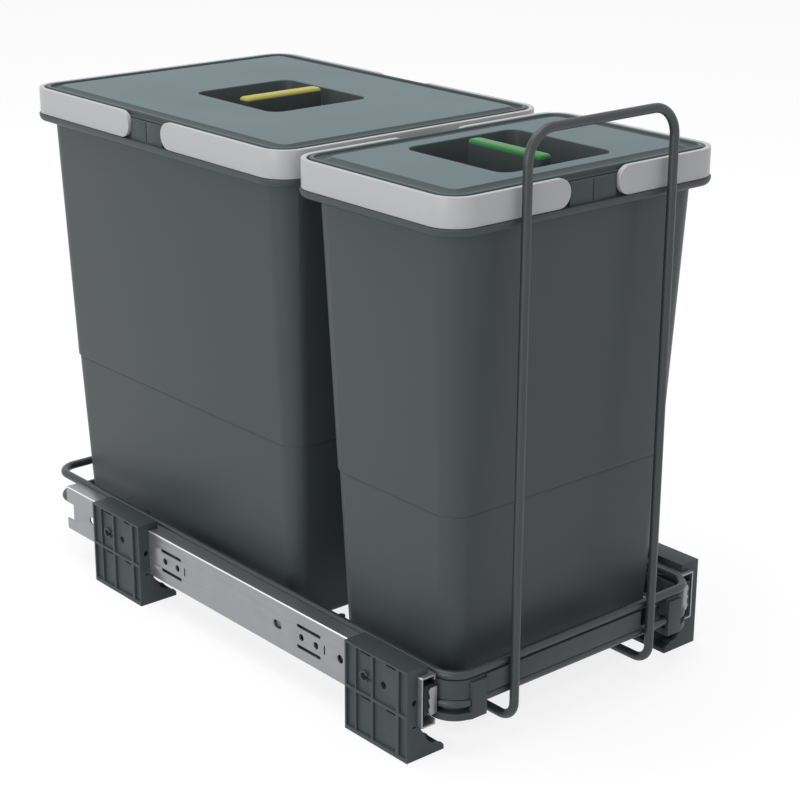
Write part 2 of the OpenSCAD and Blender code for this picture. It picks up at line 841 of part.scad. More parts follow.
// Bin with its ledge and rim, round the middle of its handles
module bin(d, set, draft, tip_gap, along) {
    ledge_w = bin_w + 2 * ledge_out;
    ledge_d = d + 2 * ledge_out;
    rim_w = bin_w - 2 * rim_set;
    rim_d = d - 2 * rim_set;
    land_face = (along == 0 ? bin_w : d) / 2 - land_set;
    land_w = tip_gap - 2 * land_gap;
    difference() {
        union() {
            tub(d, set, draft, 0, ledge_z);
            translate([0, 0, ledge_z - ledge_t / 2])
                wire_loop(ledge_w - ledge_t, ledge_d - ledge_t, handle_r + ledge_out - ledge_t / 2, ledge_t);
            translate([0, 0, ledge_z - ledge_t])
                linear_extrude(ledge_t)
                    rounded_rect(ledge_w - ledge_t, ledge_d - ledge_t, handle_r + ledge_out - ledge_t / 2);
            translate([0, 0, ledge_z - slice_t])
                linear_extrude(rim_top - ledge_z + slice_t)
                    rounded_rect(rim_w, rim_d, handle_r - rim_set);
            rotate(along)
                for (sx = [-1, 1])
                    translate([sx * (land_face - land_t / 2) - land_t / 2, -land_w / 2, ledge_z - slice_t])
                        cube([land_t, land_w, rim_top - ledge_z + slice_t]);
        }
        tub(d, set, draft, wall, ledge_z + slice_t);
        translate([0, 0, ledge_z])
            linear_extrude(rim_top - ledge_z + over)
                rounded_rect(rim_w - 2 * rim_wall, rim_d - 2 * rim_wall, handle_r - rim_set - rim_wall);
        rotate(along)
            for (sx = [-1, 1]) {
                half = (along == 0 ? rim_w : rim_d) / 2;
                for (sy = [-1, 1])
                    translate([sx * half, sy * (tip_gap + handle_h) / 2, pivot_z])
                        rotate([0, 90, 0])
                            cylinder(h = 4 * rim_wall, d = pivot_d, center = true);
                translate([sx * land_face - seam_depth, -seam_w / 2, ledge_z + over])
                    cube([2 * seam_depth, seam_w, rim_top - ledge_z]);
            }
    }
}

module large_bin() {
    color([0.33, 0.36, 0.36])
        translate([0, large_y, 0])
            bin(large_d, large_set, large_draft, large_tip_gap, 0);
}

module small_bin() {
    color([0.33, 0.36, 0.36])
        translate([0, small_y, 0])
            bin(small_d, small_set, small_draft, small_tip_gap, 90);
}

// Handle band: the front half of a rounded ring, with round ends on two pivots.
// It is drawn with its crossbar at the front, round the middle of the bin
module handle(w, d, tip_gap) {
    pivot_y = -(tip_gap + handle_h) / 2;
    inner_face = w / 2 - handle_t;
    stem = run_gap + rim_wall + seat_gap;
    translate([0, 0, handle_z])
        difference() {
            linear_extrude(handle_h)
                difference() {
                    rounded_rect(w, d, handle_r);
                    rounded_rect(w - 2 * handle_t, d - 2 * handle_t, handle_r - handle_t);
                }
            translate([-w, pivot_y, -over])
                cube([2 * w, d, handle_h + 2 * over]);
        }
    for (s = [-1, 1])
        translate([0, pivot_y, pivot_z])
            rotate([0, s * 90, 0]) {
                translate([0, 0, inner_face])
                    cylinder(h = handle_t, d = handle_h);
                translate([0, 0, inner_face - stem])
                    cylinder(h = stem + over, d = pivot_d - 2 * pivot_play);
                translate([0, 0, inner_face - stem - pivot_head_t])
                    cylinder(h = pivot_head_t, d = pivot_head_d);
            }
}

module large_front_handle() {
    color([0.76, 0.77, 0.78])
        translate([0, large_y, 0])
            handle(bin_w, large_d, large_tip_gap);
}

module large_rear_handle() {
    color([0.76, 0.77, 0.78])
        translate([0, large_y, 0])
            rotate(180)
                handle(bin_w, large_d, large_tip_gap);
}

module small_left_handle() {
    color([0.76, 0.77, 0.78])
        translate([0, small_y, 0])
            rotate(-90)
                handle(small_d, bin_w, small_tip_gap);
}

module small_right_handle() {
    color([0.76, 0.77, 0.78])
        translate([0, small_y, 0])
            rotate(90)
                handle(small_d, bin_w, small_tip_gap);
}

// Lid with a beaded edge, a raised panel and a finger pocket split by a grip
module lid(d, pocket, turn) {
    w = bin_w - 2 * lid_set;
    l = d - 2 * lid_set;
    r = handle_r - lid_set;
    slope_set = panel_margin - panel_slope;
    panel_w = w - 2 * panel_margin;
    panel_l = l - 2 * panel_margin;
    floor_z = panel_z - pocket_depth;
    skirt_w = w - 2 * skirt_set;
    skirt_l = l - 2 * skirt_set;
    difference() {
        union() {
            translate([0, 0, lid_z])
                linear_extrude(lid_plate_t)
                    rounded_rect(w, l, r);
            translate([0, 0, rim_z - bead_d / 2])
                wire_loop(w - bead_d, l - bead_d, r - bead_d / 2, bead_d);
            hull() {
                slice(w - 2 * slope_set, l - 2 * slope_set, r - slope_set, 0, lid_z);
                slice(panel_w, panel_l, r - slope_set, 0, panel_z - slice_t);
            }
            translate([0, 0, lid_z - skirt_h])
                linear_extrude(skirt_h + slice_t)
                    rounded_rect(skirt_w, skirt_l, r - skirt_set);
            translate([0, 0, floor_z - wall])
                linear_extrude(pocket_depth + wall / 2)
                    rounded_rect(pocket[0] + 2 * wall, pocket[1] + 2 * wall, pocket_r + wall);
        }
        difference() {
            union() {
                translate([0, 0, lid_z - skirt_h - over])
                    linear_extrude(skirt_h + over)
                        rounded_rect(skirt_w - 2 * skirt_t, skirt_l - 2 * skirt_t, r - skirt_set - skirt_t);
                translate([0, 0, lid_z - over])
                    linear_extrude(over + panel_z - lid_z - lid_plate_t)
                        rounded_rect(panel_w - 2 * lid_plate_t, panel_l - 2 * lid_plate_t,
                                     r - slope_set - lid_plate_t);
            }
            translate([0, 0, floor_z - wall])
                linear_extrude(panel_z - floor_z + wall)
                    rounded_rect(pocket[0] + 2 * wall, pocket[1] + 2 * wall, pocket_r + wall);
        }
        difference() {
            translate([0, 0, floor_z])
                linear_extrude(pocket_depth + over)
                    rounded_rect(pocket[0], pocket[1], pocket_r);
            rotate(turn)
                translate([0, 0, floor_z - slice_t])
                    linear_extrude(pocket_depth - cap_h + cap_rise + slice_t)
                        rounded_rect(grip_l, grip_w, grip_w * 0.3);
        }
        rotate(turn)
            translate([0, 0, panel_z + cap_rise - cap_h - tongue_h])
                linear_extrude(tongue_h + over)
                    square([grip_l * 0.7, tongue_w], center = true);
    }
}

module large_lid() {
    color([0.42, 0.47, 0.48])
        translate([0, large_y, 0])
            lid(large_d, large_pocket, 0);
}

module small_lid() {
    color([0.42, 0.47, 0.48])
        translate([0, small_y, 0])
            lid(small_d, small_pocket, 90);
}

// Coloured cap on top of a grip, held by a tongue
module grip_cap(turn) {
    low = panel_z + cap_rise - cap_h;
    rotate(turn) {
        hull() {
            slice(grip_l, grip_w, grip_w * 0.3, 0, low);
            slice(grip_l, grip_w, grip_w * 0.3, 0, low + cap_h * 0.4);
            slice(grip_l - cap_h, grip_w - cap_h, grip_w * 0.2, 0, low + cap_h - slice_t);
        }
        translate([0, 0, low - tongue_h + seat_gap])
            linear_extrude(tongue_h)
                square([grip_l * 0.7 - 2 * seat_gap, tongue_w - 2 * seat_gap], center = true);
    }
}

module yellow_grip_cap() {
    color([0.8, 0.74, 0.2])
        translate([0, large_y, 0])
            grip_cap(0);
}

module green_grip_cap() {
    color([0.27, 0.63, 0.3])
        translate([0, small_y, 0])
            grip_cap(90);
}

bracket(-1, bracket_places[0]);  // bracket_front_left
bracket(-1, bracket_places[1]);  // bracket_rear_left
bracket(1, bracket_places[0]);  // bracket_front_right
bracket(1, bracket_places[1]);  // bracket_rear_right
outer_rail(-1);  // outer_rail_left
outer_rail(1);  // outer_rail_right
rail_screws();
outer_cage(-1);  // outer_cage_left
outer_cage(1);  // outer_cage_right
balls(-1, outer_ball_z, outer_ball_d, outer_ball_u);  // outer_balls_left
balls(1, outer_ball_z, outer_ball_d, outer_ball_u);  // outer_balls_right
middle_rail(-1);  // middle_rail_left
middle_rail(1);  // middle_rail_right
middle_buffer(-1);  // middle_buffer_left
middle_buffer(1);  // middle_buffer_right
inner_cage(-1);  // inner_cage_left
inner_cage(1);  // inner_cage_right
balls(-1, inner_ball_z, inner_ball_d, inner_ball_u);  // inner_balls_left
balls(1, inner_ball_z, inner_ball_d, inner_ball_u);  // inner_balls_right
inner_rail(-1);  // inner_rail_left
inner_rail(1);  // inner_rail_right
upper_wire_ring();
lower_wire_ring();
front_hoop();
cross_wires();
ring_stubs();
front_strip();
corner_clip(-1);  // corner_clip_left
corner_clip(1);  // corner_clip_right
clip_screws();
large_bin();
small_bin();
large_lid();
small_lid();
yellow_grip_cap();
green_grip_cap();
large_front_handle();
large_rear_handle();
small_left_handle();
small_right_handle();
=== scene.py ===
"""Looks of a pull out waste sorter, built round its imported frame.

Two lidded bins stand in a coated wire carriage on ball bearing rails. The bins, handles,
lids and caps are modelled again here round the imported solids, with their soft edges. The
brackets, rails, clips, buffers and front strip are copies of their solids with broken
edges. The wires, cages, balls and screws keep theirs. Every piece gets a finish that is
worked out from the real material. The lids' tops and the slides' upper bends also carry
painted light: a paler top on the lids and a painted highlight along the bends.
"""
import json
import logging
import math
from collections.abc import Callable
from dataclasses import dataclass
from enum import Enum

import bmesh
import bpy
from mathutils import Matrix, Vector

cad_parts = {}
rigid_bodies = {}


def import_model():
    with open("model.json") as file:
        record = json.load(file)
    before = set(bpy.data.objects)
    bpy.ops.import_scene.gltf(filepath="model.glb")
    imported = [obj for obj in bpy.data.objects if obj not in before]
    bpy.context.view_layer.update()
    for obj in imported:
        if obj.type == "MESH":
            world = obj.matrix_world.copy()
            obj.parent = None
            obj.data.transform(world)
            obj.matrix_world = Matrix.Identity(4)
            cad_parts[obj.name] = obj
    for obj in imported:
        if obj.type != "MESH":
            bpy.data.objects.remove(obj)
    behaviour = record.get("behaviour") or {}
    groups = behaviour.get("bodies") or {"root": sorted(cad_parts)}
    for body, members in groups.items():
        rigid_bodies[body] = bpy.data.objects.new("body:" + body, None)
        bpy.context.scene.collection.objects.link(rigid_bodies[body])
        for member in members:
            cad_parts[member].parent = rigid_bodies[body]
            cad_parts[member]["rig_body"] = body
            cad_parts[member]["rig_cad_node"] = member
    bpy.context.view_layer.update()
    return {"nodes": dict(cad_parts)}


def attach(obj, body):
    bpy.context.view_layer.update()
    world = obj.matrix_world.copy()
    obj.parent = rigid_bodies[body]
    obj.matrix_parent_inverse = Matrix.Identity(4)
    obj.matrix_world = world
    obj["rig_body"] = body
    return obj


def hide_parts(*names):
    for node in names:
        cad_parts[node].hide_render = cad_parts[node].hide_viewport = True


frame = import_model()

MM = 0.001
log = logging.getLogger("waste_sorter")

# Over the handles, in millimetres: the bins' width, and each bin's depth, the place of
# its middle along Y, and the gap between the tips of its handles
BIN_WIDTH = 230.0
LARGE_DEPTH, LARGE_Y, LARGE_TIPS = 297.0, 81.3, 38.4
SMALL_DEPTH, SMALL_Y, SMALL_TIPS = 150.0, -151.2, 41.0

# In a copied CAD mesh, points that are this close are one point, and faces that turn by
# less than this angle are one face
MERGE_MM, FLAT_DEG = 0.002, 0.4

# The sockets of a Mix node that mixes colours, and the colour of the white surround
SHARE, COLOUR_A, COLOUR_B, COLOUR = 0, 6, 7, 2
WHITE = (1, 1, 1, 1)

Material = bpy.types.Material
Object = bpy.types.Object
NodeTree = bpy.types.NodeTree
Node = bpy.types.Node
Socket = bpy.types.NodeSocket


class Side(Enum):
    """The side of the unit that a piece is on, by its word in the nodes' names."""

    LEFT = "left"
    RIGHT = "right"


class Turn(Enum):
    """How a piece that is drawn with its length across the unit is turned, in degrees."""

    NONE = 0
    QUARTER = 90
    HALF = 180
    BACK = -90


def linear(colour: str) -> tuple[float, float, float, float]:
    """Turns an sRGB hex colour to the linear colour that a shader takes.

    Args:
        colour: Six hex digits after a hash sign.

    Returns:
        Red, green, blue and a full alpha.
    """
    parts = [int(colour[i : i + 2], 16) / 255 for i in (1, 3, 5)]
    curve = [c / 12.92 if c <= 0.04045 else ((c + 0.055) / 1.055) ** 2.4 for c in parts]
    return (*curve, 1.0)


def add_node(
    tree: NodeTree,
    kind: str,
    settings: dict[str | int, object] | None = None,
    links: dict[str | int, Socket] | None = None,
) -> Node:
    """Adds one shader node with its settings and links.

    Args:
        tree: The node tree of a material or of the world.
        kind: Blender's name for the kind of node.
        settings: Values by the name of an input socket or of a property.
        links: Output sockets by the name of the input socket that each feeds.

    Returns:
        The new node.
    """
    made = tree.nodes.new(kind)
    for key, value in (settings or {}).items():
        if isinstance(key, int) or key in made.inputs:
            made.inputs[key].default_value = value
        else:
            setattr(made, key, value)
    for key, source in (links or {}).items():
        tree.links.new(source, made.inputs[key])
    return made


def new_material(name: str) -> tuple[Material, NodeTree, Socket]:
    """Starts a node material.

    Args:
        name: The finish's own name.

    Returns:
        The material, its empty node tree, and the object coordinates in metres.
    """
    made = bpy.data.materials.new(name)
    made.use_nodes = True
    tree = made.node_tree
    tree.nodes.clear()
    place = add_node(tree, "ShaderNodeTexCoord")
    return made, tree, place.outputs["Object"]


def close_material(
    tree: NodeTree,
    settings: dict[str | int, object],
    colour: Socket,
    gloss: tuple[Socket, float, float],
    relief: tuple[Socket, float, float],
) -> None:
    """Ends a material with its gloss, relief, shader and output.

    Args:
        tree: The material's node tree.
        settings: The shader's own values by the name of an input socket.
        colour: The finished colour.
        gloss: The pattern that roughness follows, and its least and greatest value.
        relief: The pattern that height follows, its strength and its depth in mm.
    """
    shine, least, greatest = gloss
    rough = add_node(
        tree,
        "ShaderNodeMapRange",
        {"To Min": least, "To Max": greatest},
        {"Value": shine},
    )
    height, strength, depth_mm = relief
    bump = add_node(
        tree,
        "ShaderNodeBump",
        {"Strength": strength, "Distance": depth_mm * MM},
        {"Height": height},
    )
    shader = add_node(
        tree,
        "ShaderNodeBsdfPrincipled",
        settings,
        {
            "Base Color": colour,
            "Roughness": rough.outputs["Result"],
            "Normal": bump.outputs["Normal"],
        },
    )
    add_node(
        tree, "ShaderNodeOutputMaterial", None, {"Surface": shader.outputs["BSDF"]}
    )


@dataclass(frozen=True)
class MouldedPlastic:
    """Injection moulded plastic: satin, with the spark eroded grain of its tool.

    The cooling melt leaves faint broad clouds of colour and gloss, and the grain breaks
    up the highlights. Real grain is about 0.1 mm wide, which no render of the whole unit
    can show, so it is drawn as coarse as grain_mm says. Polypropylene, ABS, nylon and
    acetal are moulded the same way, each with its own gloss.
    """

    name: str
    colour: str
    cloud: str
    roughness: float = 0.42
    gloss_spread: float = 0.05
    grain_mm: float = 0.7
    grain_depth_mm: float = 0.012
    grain_strength: float = 0.6
    cloud_mm: float = 90.0
    specular: float = 0.25
    # Painted light: the paler colour over everything above a height, for the light on
    # upward faces; that height and how soft its edge is, in mm
    lit_top_colour: str | None = None
    lit_top_over_mm: float = 0.0
    lit_top_edge_mm: float = 0.05

    def paint_lit_top(self, tree: NodeTree, place: Socket, base: Socket) -> Socket:
        """Paints a paler colour on everything above a height of the piece, as painted
        light on its upward faces.

        Args:
            tree: The material's node tree.
            place: The object coordinates in metres.
            base: The colour of the plastic.

        Returns:
            The colour with the painted light on top.
        """
        split = add_node(tree, "ShaderNodeSeparateXYZ", None, {0: place})
        edge = add_node(
            tree,
            "ShaderNodeMapRange",
            {
                "From Min": (self.lit_top_over_mm - self.lit_top_edge_mm) * MM,
                "From Max": (self.lit_top_over_mm + self.lit_top_edge_mm) * MM,
            },
            {"Value": split.outputs["Z"]},
        )
        # Painted light: the paler colour is mixed in above the height
        sheet = add_node(
            tree,
            "ShaderNodeMix",
            {"data_type": "RGBA", COLOUR_B: linear(self.lit_top_colour)},
            {SHARE: edge.outputs["Result"], COLOUR_A: base},
        )
        return sheet.outputs[COLOUR]

    def make(self) -> Material:
        """Builds the plastic's nodes.

        Returns:
            The material.
        """
        made, tree, place = new_material(self.name)
        clouds = add_node(
            tree,
            "ShaderNodeTexNoise",
            {"Scale": 1 / (self.cloud_mm * MM), "Detail": 3.0, "Roughness": 0.55},
            {"Vector": place},
        )
        grain = add_node(
            tree,
            "ShaderNodeTexNoise",
            {"Scale": 1 / (self.grain_mm * MM), "Detail": 2.0, "Roughness": 0.6},
            {"Vector": place},
        )
        tint = add_node(
            tree,
            "ShaderNodeMix",
            {
                "data_type": "RGBA",
                COLOUR_A: linear(self.colour),
                COLOUR_B: linear(self.cloud),
            },
            {SHARE: clouds.outputs["Fac"]},
        )
        colour = tint.outputs[COLOUR]
        if self.lit_top_colour:
            colour = self.paint_lit_top(tree, place, colour)
        dull, spread = self.roughness, self.gloss_spread
        close_material(
            tree,
            {"IOR": 1.49, "Specular IOR Level": self.specular},
            colour,
            (clouds.outputs["Fac"], dull - spread, dull + spread),
            (grain.outputs["Fac"], self.grain_strength, self.grain_depth_mm),
        )
        return made


@dataclass(frozen=True)
class PowderCoat:
    """Epoxy powder baked on steel wire: the coat flows out to a faint orange peel.

    The waves of the peel are 1 to 2 mm across, and specks of unmelted powder dull it.
    """

    name: str
    colour: str
    speck: str
    roughness: float = 0.32
    dulling: float = 0.15
    peel_mm: float = 1.6
    peel_depth_mm: float = 0.02
    peel_strength: float = 0.7
    speck_mm: float = 0.5

    def make(self) -> Material:
        """Builds the coat's nodes.

        Returns:
            The material.
        """
        made, tree, place = new_material(self.name)
        peel = add_node(
            tree,
            "ShaderNodeTexNoise",
            {"Scale": 1 / (self.peel_mm * MM), "Detail": 1.0},
            {"Vector": place},
        )
        specks = add_node(
            tree,
            "ShaderNodeTexNoise",
            {"Scale": 1 / (self.speck_mm * MM), "Detail": 4.0, "Roughness": 0.7},
            {"Vector": place},
        )
        picked = add_node(
            tree,
            "ShaderNodeMapRange",
            {"From Min": 0.45, "From Max": 0.75},
            {"Value": specks.outputs["Fac"]},
        )
        tint = add_node(
            tree,
            "ShaderNodeMix",
            {
                "data_type": "RGBA",
                COLOUR_A: linear(self.colour),
                COLOUR_B: linear(self.speck),
            },
            {SHARE: picked.outputs["Result"]},
        )
        close_material(
            tree,
            {"IOR": 1.54, "Specular IOR Level": 0.5},
            tint.outputs[COLOUR],
            (specks.outputs["Fac"], self.roughness, self.roughness + self.dulling),
            (peel.outputs["Fac"], self.peel_strength, self.peel_depth_mm),
        )
        return made


@dataclass(frozen=True)
class ZincSheet:
    """Cold rolled strip with a bright zinc plate, as on drawer slides.

    Rolling leaves hair lines along the strip, here along Y, and the plate clouds it in
    soft patches. Real hair lines are some 0.02 mm wide, so they are drawn coarser.
    """

    name: str
    colour: str
    cloud: str
    roughness: float = 0.3
    # How far the hair lines are glossier, and duller, than the roughness says
    gloss_spread: tuple[float, float] = (0.06, 0.1)
    line_mm: float = 0.4
    line_depth_mm: float = 0.01
    line_strength: float = 0.25
    line_length: float = 40.0
    patch_mm: float = 14.0
    metallic: float = 0.7
    # The colour of the painted highlight on the upper bends, where there is one
    bend_highlight_colour: str | None = None
    # Where the painted highlight on a bend starts and is full: its normal's Z times its
    # size in X
    bend_lean: tuple[float, float] = (0.28, 0.42)

    def paint_bend_highlight(self, tree: NodeTree, base: Socket) -> Socket:
        """Paints a highlight on the upper bends, as a painted glint of the top lamp.

        Args:
            tree: The material's node tree.
            base: The colour of the flat sheet.

        Returns:
            The colour with the painted highlight on the bends.
        """
        facing = add_node(tree, "ShaderNodeTexCoord")
        split = add_node(
            tree, "ShaderNodeSeparateXYZ", None, {0: facing.outputs["Normal"]}
        )
        side = add_node(
            tree, "ShaderNodeMath", {"operation": "ABSOLUTE"}, {0: split.outputs["X"]}
        )
        both = add_node(
            tree,
            "ShaderNodeMath",
            {"operation": "MULTIPLY"},
            {0: side.outputs[0], 1: split.outputs["Z"]},
        )
        share = add_node(
            tree,
            "ShaderNodeMapRange",
            {"From Min": self.bend_lean[0], "From Max": self.bend_lean[1]},
            {"Value": both.outputs[0]},
        )
        # Painted highlight: the bends are mixed towards a near white
        bright = add_node(
            tree,
            "ShaderNodeMix",
            {"data_type": "RGBA", COLOUR_B: linear(self.bend_highlight_colour)},
            {SHARE: share.outputs["Result"], COLOUR_A: base},
        )
        return bright.outputs[COLOUR]

    def make(self) -> Material:
        """Builds the sheet's nodes.

        Returns:
            The material.
        """
        made, tree, place = new_material(self.name)
        drawn_out = add_node(
            tree,
            "ShaderNodeMapping",
            {"Scale": (1.0, 1 / self.line_length, 1.0)},
            {"Vector": place},
        )
        lines = add_node(
            tree,
            "ShaderNodeTexNoise",
            {"Scale": 1 / (self.line_mm * MM), "Detail": 3.0, "Roughness": 0.6},
            {"Vector": drawn_out.outputs["Vector"]},
        )
        patches = add_node(
            tree,
            "ShaderNodeTexNoise",
            {"Scale": 1 / (self.patch_mm * MM), "Detail": 2.0},
            {"Vector": place},
        )
        tint = add_node(
            tree,
            "ShaderNodeMix",
            {
                "data_type": "RGBA",
                COLOUR_A: linear(self.colour),
                COLOUR_B: linear(self.cloud),
            },
            {SHARE: patches.outputs["Fac"]},
        )
        colour = tint.outputs[COLOUR]
        if self.bend_highlight_colour:
            colour = self.paint_bend_highlight(tree, colour)
        brighter, duller = self.gloss_spread
        close_material(
            tree,
            {"Metallic": self.metallic},
            colour,
            (lines.outputs["Fac"], self.roughness - brighter, self.roughness + duller),
            (lines.outputs["Fac"], self.line_strength, self.line_depth_mm),
        )
        return made


class Look(Enum):
    """The finishes of the unit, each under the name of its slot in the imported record."""

    # Polypropylene with dark pigment: an even, near matt grey that soaks up light
    bin_plastic = MouldedPlastic("moulded_polypropylene_bin", "#424849", "#474d4e")
    # The same plastic, painted paler from just under the panel's height up: painted light
    # on the upward faces over a dark frame
    lid_plastic = MouldedPlastic(
        "moulded_polypropylene_lid",
        "#454b4c",
        "#494f50",
        roughness=0.4,
        specular=0.15,
        lit_top_colour="#50666b",
        lit_top_over_mm=355.85,
    )
    # Pale ABS straps: the brightest plastic here, with a soft highlight on each edge
    handle_plastic = MouldedPlastic(
        "moulded_abs_handle",
        "#b3b4b6",
        "#b8b9bb",
        roughness=0.34,
        grain_mm=0.5,
        specular=0.45,
    )
    # Glossier ABS caps: clean colour marks that tell the bins apart
    yellow_plastic = MouldedPlastic(
        "moulded_abs_yellow", "#aba139", "#b0a73f", roughness=0.34
    )
    green_plastic = MouldedPlastic(
        "moulded_abs_green", "#277731", "#2b7c35", roughness=0.34, specular=0.18
    )
    # Glass filled nylon: dull charcoal with a fine cloudy bloom close up
    bracket_plastic = MouldedPlastic(
        "moulded_nylon_bracket", "#3f4547", "#444a4c", roughness=0.46, cloud_mm=25.0
    )
    # Acetal: nearly black and slightly waxy
    black_plastic = MouldedPlastic(
        "moulded_acetal_buffer", "#1d1f22", "#232528", roughness=0.4, cloud_mm=8.0
    )
    # Baked powder on drawn wire: charcoal with long soft highlights and a faint peel
    coated_wire = PowderCoat("epoxy_coated_wire", "#2d3335", "#32383a")
    # Zinc plate on rolled strip: a dull silver grey, with a painted highlight along its
    # upper bends
    zinc_sheet = ZincSheet(
        "zinc_plated_strip", "#9c9ea1", "#929497", bend_highlight_colour="#f4f5f7"
    )
    # Thinner plate on the cages: the same grey, a step darker
    cage_sheet = ZincSheet("plated_cage_strip", "#8d8f93", "#838589", roughness=0.44)
    # Ground and polished steel: small bright mirrors
    ball_steel = ZincSheet(
        "ground_ball_steel",
        "#d6d7da",
        "#cfd0d3",
        roughness=0.16,
        line_length=1.0,
        metallic=1.0,
    )
    # Zinc plate on turned heads: bright, without a drawing direction
    screw_steel = ZincSheet(
        "zinc_plated_screw",
        "#b9bbbf",
        "#adafb3",
        roughness=0.28,
        line_length=1.0,
        metallic=1.0,
    )


def dress(piece: Object, look: Look) -> None:
    """Gives a piece its finish.

    Args:
        piece: A mesh object.
        look: The finish, whose name is the slot's name.
    """
    made = bpy.data.materials.get(look.value.name) or look.value.make()
    piece.data.materials.clear()
    piece.data.materials.append(made)


def pick(piece: Object) -> None:
    """Makes a piece the only one selected, and the active one.

    Args:
        piece: An object in object mode.
    """
    bpy.ops.object.select_all(action="DESELECT")
    piece.select_set(True)
    bpy.context.view_layer.objects.active = piece


def apply_modifier(piece: Object, kind: str, settings: dict[str, object]) -> None:
    """Adds a modifier to a piece and applies it.

    Args:
        piece: A mesh object in object mode.
        kind: Blender's name for the kind of modifier.
        settings: Values by the name of a property of the modifier.
    """
    pick(piece)
    modifier = piece.modifiers.new(kind.title(), kind)
    for key, value in settings.items():
        setattr(modifier, key, value)
    bpy.ops.object.modifier_apply(modifier=modifier.name)


def smooth(piece: Object, under_deg: float = 40.0) -> None:
    """Shades a piece smooth, apart from edges that turn by more than an angle."""
    pick(piece)
    bpy.ops.object.shade_smooth_by_angle(angle=math.radians(under_deg))


def soften(
    piece: Object,
    width_mm: float,
    over_deg: float,
    smooth_deg: float = 40.0,
    unit: float = 1.0,
) -> None:
    """Rounds the edges that are sharper than an angle, and shades the rest smooth.

    Args:
        piece: A mesh object in object mode.
        width_mm: Width of the rounding.
        over_deg: The rounding reaches edges that turn by more than this.
        smooth_deg: Edges that turn by less than this are shaded smooth.
        unit: What a millimetre is in the piece's mesh.
    """
    apply_modifier(
        piece,
        "BEVEL",
        {
            "width": width_mm * unit,
            "segments": 3,
            "limit_method": "ANGLE",
            "angle_limit": math.radians(over_deg),
            "use_clamp_overlap": True,
        },
    )
    smooth(piece, smooth_deg)


def select_facing(piece: Object, way: Vector) -> None:
    """In edit mode, selects the faces that point one way, within some 25 degrees.

    Args:
        piece: The object in edit mode.
        way: The direction in the piece's own axes, one unit long.
    """
    bpy.ops.mesh.select_mode(type="FACE")
    mesh = bmesh.from_edit_mesh(piece.data)
    cosine = 0.9
    for face in mesh.faces:
        face.select_set(face.normal.dot(way) > cosine)
    bmesh.update_edit_mesh(piece.data)


def select_points(piece: Object, test: Callable[[Vector], bool]) -> None:
    """In edit mode, selects the vertices whose place passes a test.

    Args:
        piece: The object in edit mode.
        test: Takes a vertex's place in the mesh.
    """
    bpy.ops.mesh.select_mode(type="VERT")
    mesh = bmesh.from_edit_mesh(piece.data)
    for vert in mesh.verts:
        vert.select_set(test(vert.co))
    mesh.select_flush_mode()
    bmesh.update_edit_mesh(piece.data)


@dataclass(frozen=True)
class Outline:
    """A rounded rectangle at one height, in millimetres."""

    z: float
    width: float
    depth: float
    radius: float

    def towards(self, other: "Outline", far: float) -> "Outline":
        """Gives the outline that a straight wall to another one has on its way.

        Args:
            other: The outline at the wall's other end.
            far: How far along in height, in millimetres.

        Returns:
            The outline there.
        """
        share = far / abs(other.z - self.z)
        return Outline(
            self.z + share * (other.z - self.z),
            self.width + share * (other.width - self.width),
            self.depth + share * (other.depth - self.depth),
            self.radius + share * (other.radius - self.radius),
        )


def draw_outline(shape: Outline, middle: Vector, steps: int) -> None:
    """In edit mode, draws a rounded rectangle as a face, which stays selected.

    A new piece is drawn with one Blender unit to the millimetre, as on a drawing.

    Args:
        shape: The outline.
        middle: Where its middle stands on the floor, in millimetres.
        steps: Number of segments in each corner.
    """
    at = (middle.x, middle.y, shape.z)
    bpy.ops.mesh.primitive_plane_add(size=1, location=at)
    bpy.ops.transform.resize(
        value=(shape.width, shape.depth, 1), center_override=at
    )
    round_corners(shape.radius, steps)


def round_corners(radius: float, steps: int) -> None:
    """In edit mode, rounds the corners at the selected vertices.

    Args:
        radius: The corners' radius.
        steps: Number of segments in each.
    """
    bpy.ops.mesh.bevel(
        offset=radius,
        offset_type="ABSOLUTE",
        segments=steps,
        profile=0.5,
        affect="VERTICES",
    )


def start_piece(name: str) -> Object:
    """Starts a piece with an empty mesh, and goes to edit mode.

    Args:
        name: The piece's name, and its mesh's.

    Returns:
        The piece.
    """
    bpy.ops.object.select_all(action="DESELECT")
    bpy.ops.mesh.primitive_plane_add(size=1, location=(0, 0, 0))
    piece = bpy.context.object
    piece.name = name
    piece.data.name = name
    bpy.ops.object.mode_set(mode="EDIT")
    bpy.ops.mesh.select_all(action="SELECT")
    bpy.ops.mesh.delete(type="VERT")
    return piece


def loft(
    name: str, outlines: list[Outline], middle: Vector, steps: int = 10
) -> Object:
    """Builds a closed skin through rounded outlines, from the first to the last.

    Args:
        name: Name of the new piece.
        outlines: The outlines in order along the skin. The first and last are closed.
        middle: Where their middle stands on the floor, in millimetres.
        steps: Number of segments in each corner.

    Returns:
        The new piece, in object mode.
    """
    piece = start_piece(name)
    draw_outline(outlines[0], middle, steps)
    for shape in outlines[1:]:
        draw_outline(shape, middle, steps)
        bpy.ops.mesh.delete(type="ONLY_FACE")
        bpy.ops.mesh.select_mode(type="EDGE")
        bpy.ops.mesh.select_all(action="DESELECT")
        bpy.ops.mesh.select_non_manifold()
        bpy.ops.mesh.bridge_edge_loops()
    bpy.ops.mesh.select_all(action="DESELECT")
    bpy.ops.mesh.select_non_manifold()
    bpy.ops.mesh.edge_face_add()
    bpy.ops.mesh.select_all(action="SELECT")
    bpy.ops.mesh.normals_make_consistent(inside=False)
    bpy.ops.object.mode_set(mode="OBJECT")
    return piece


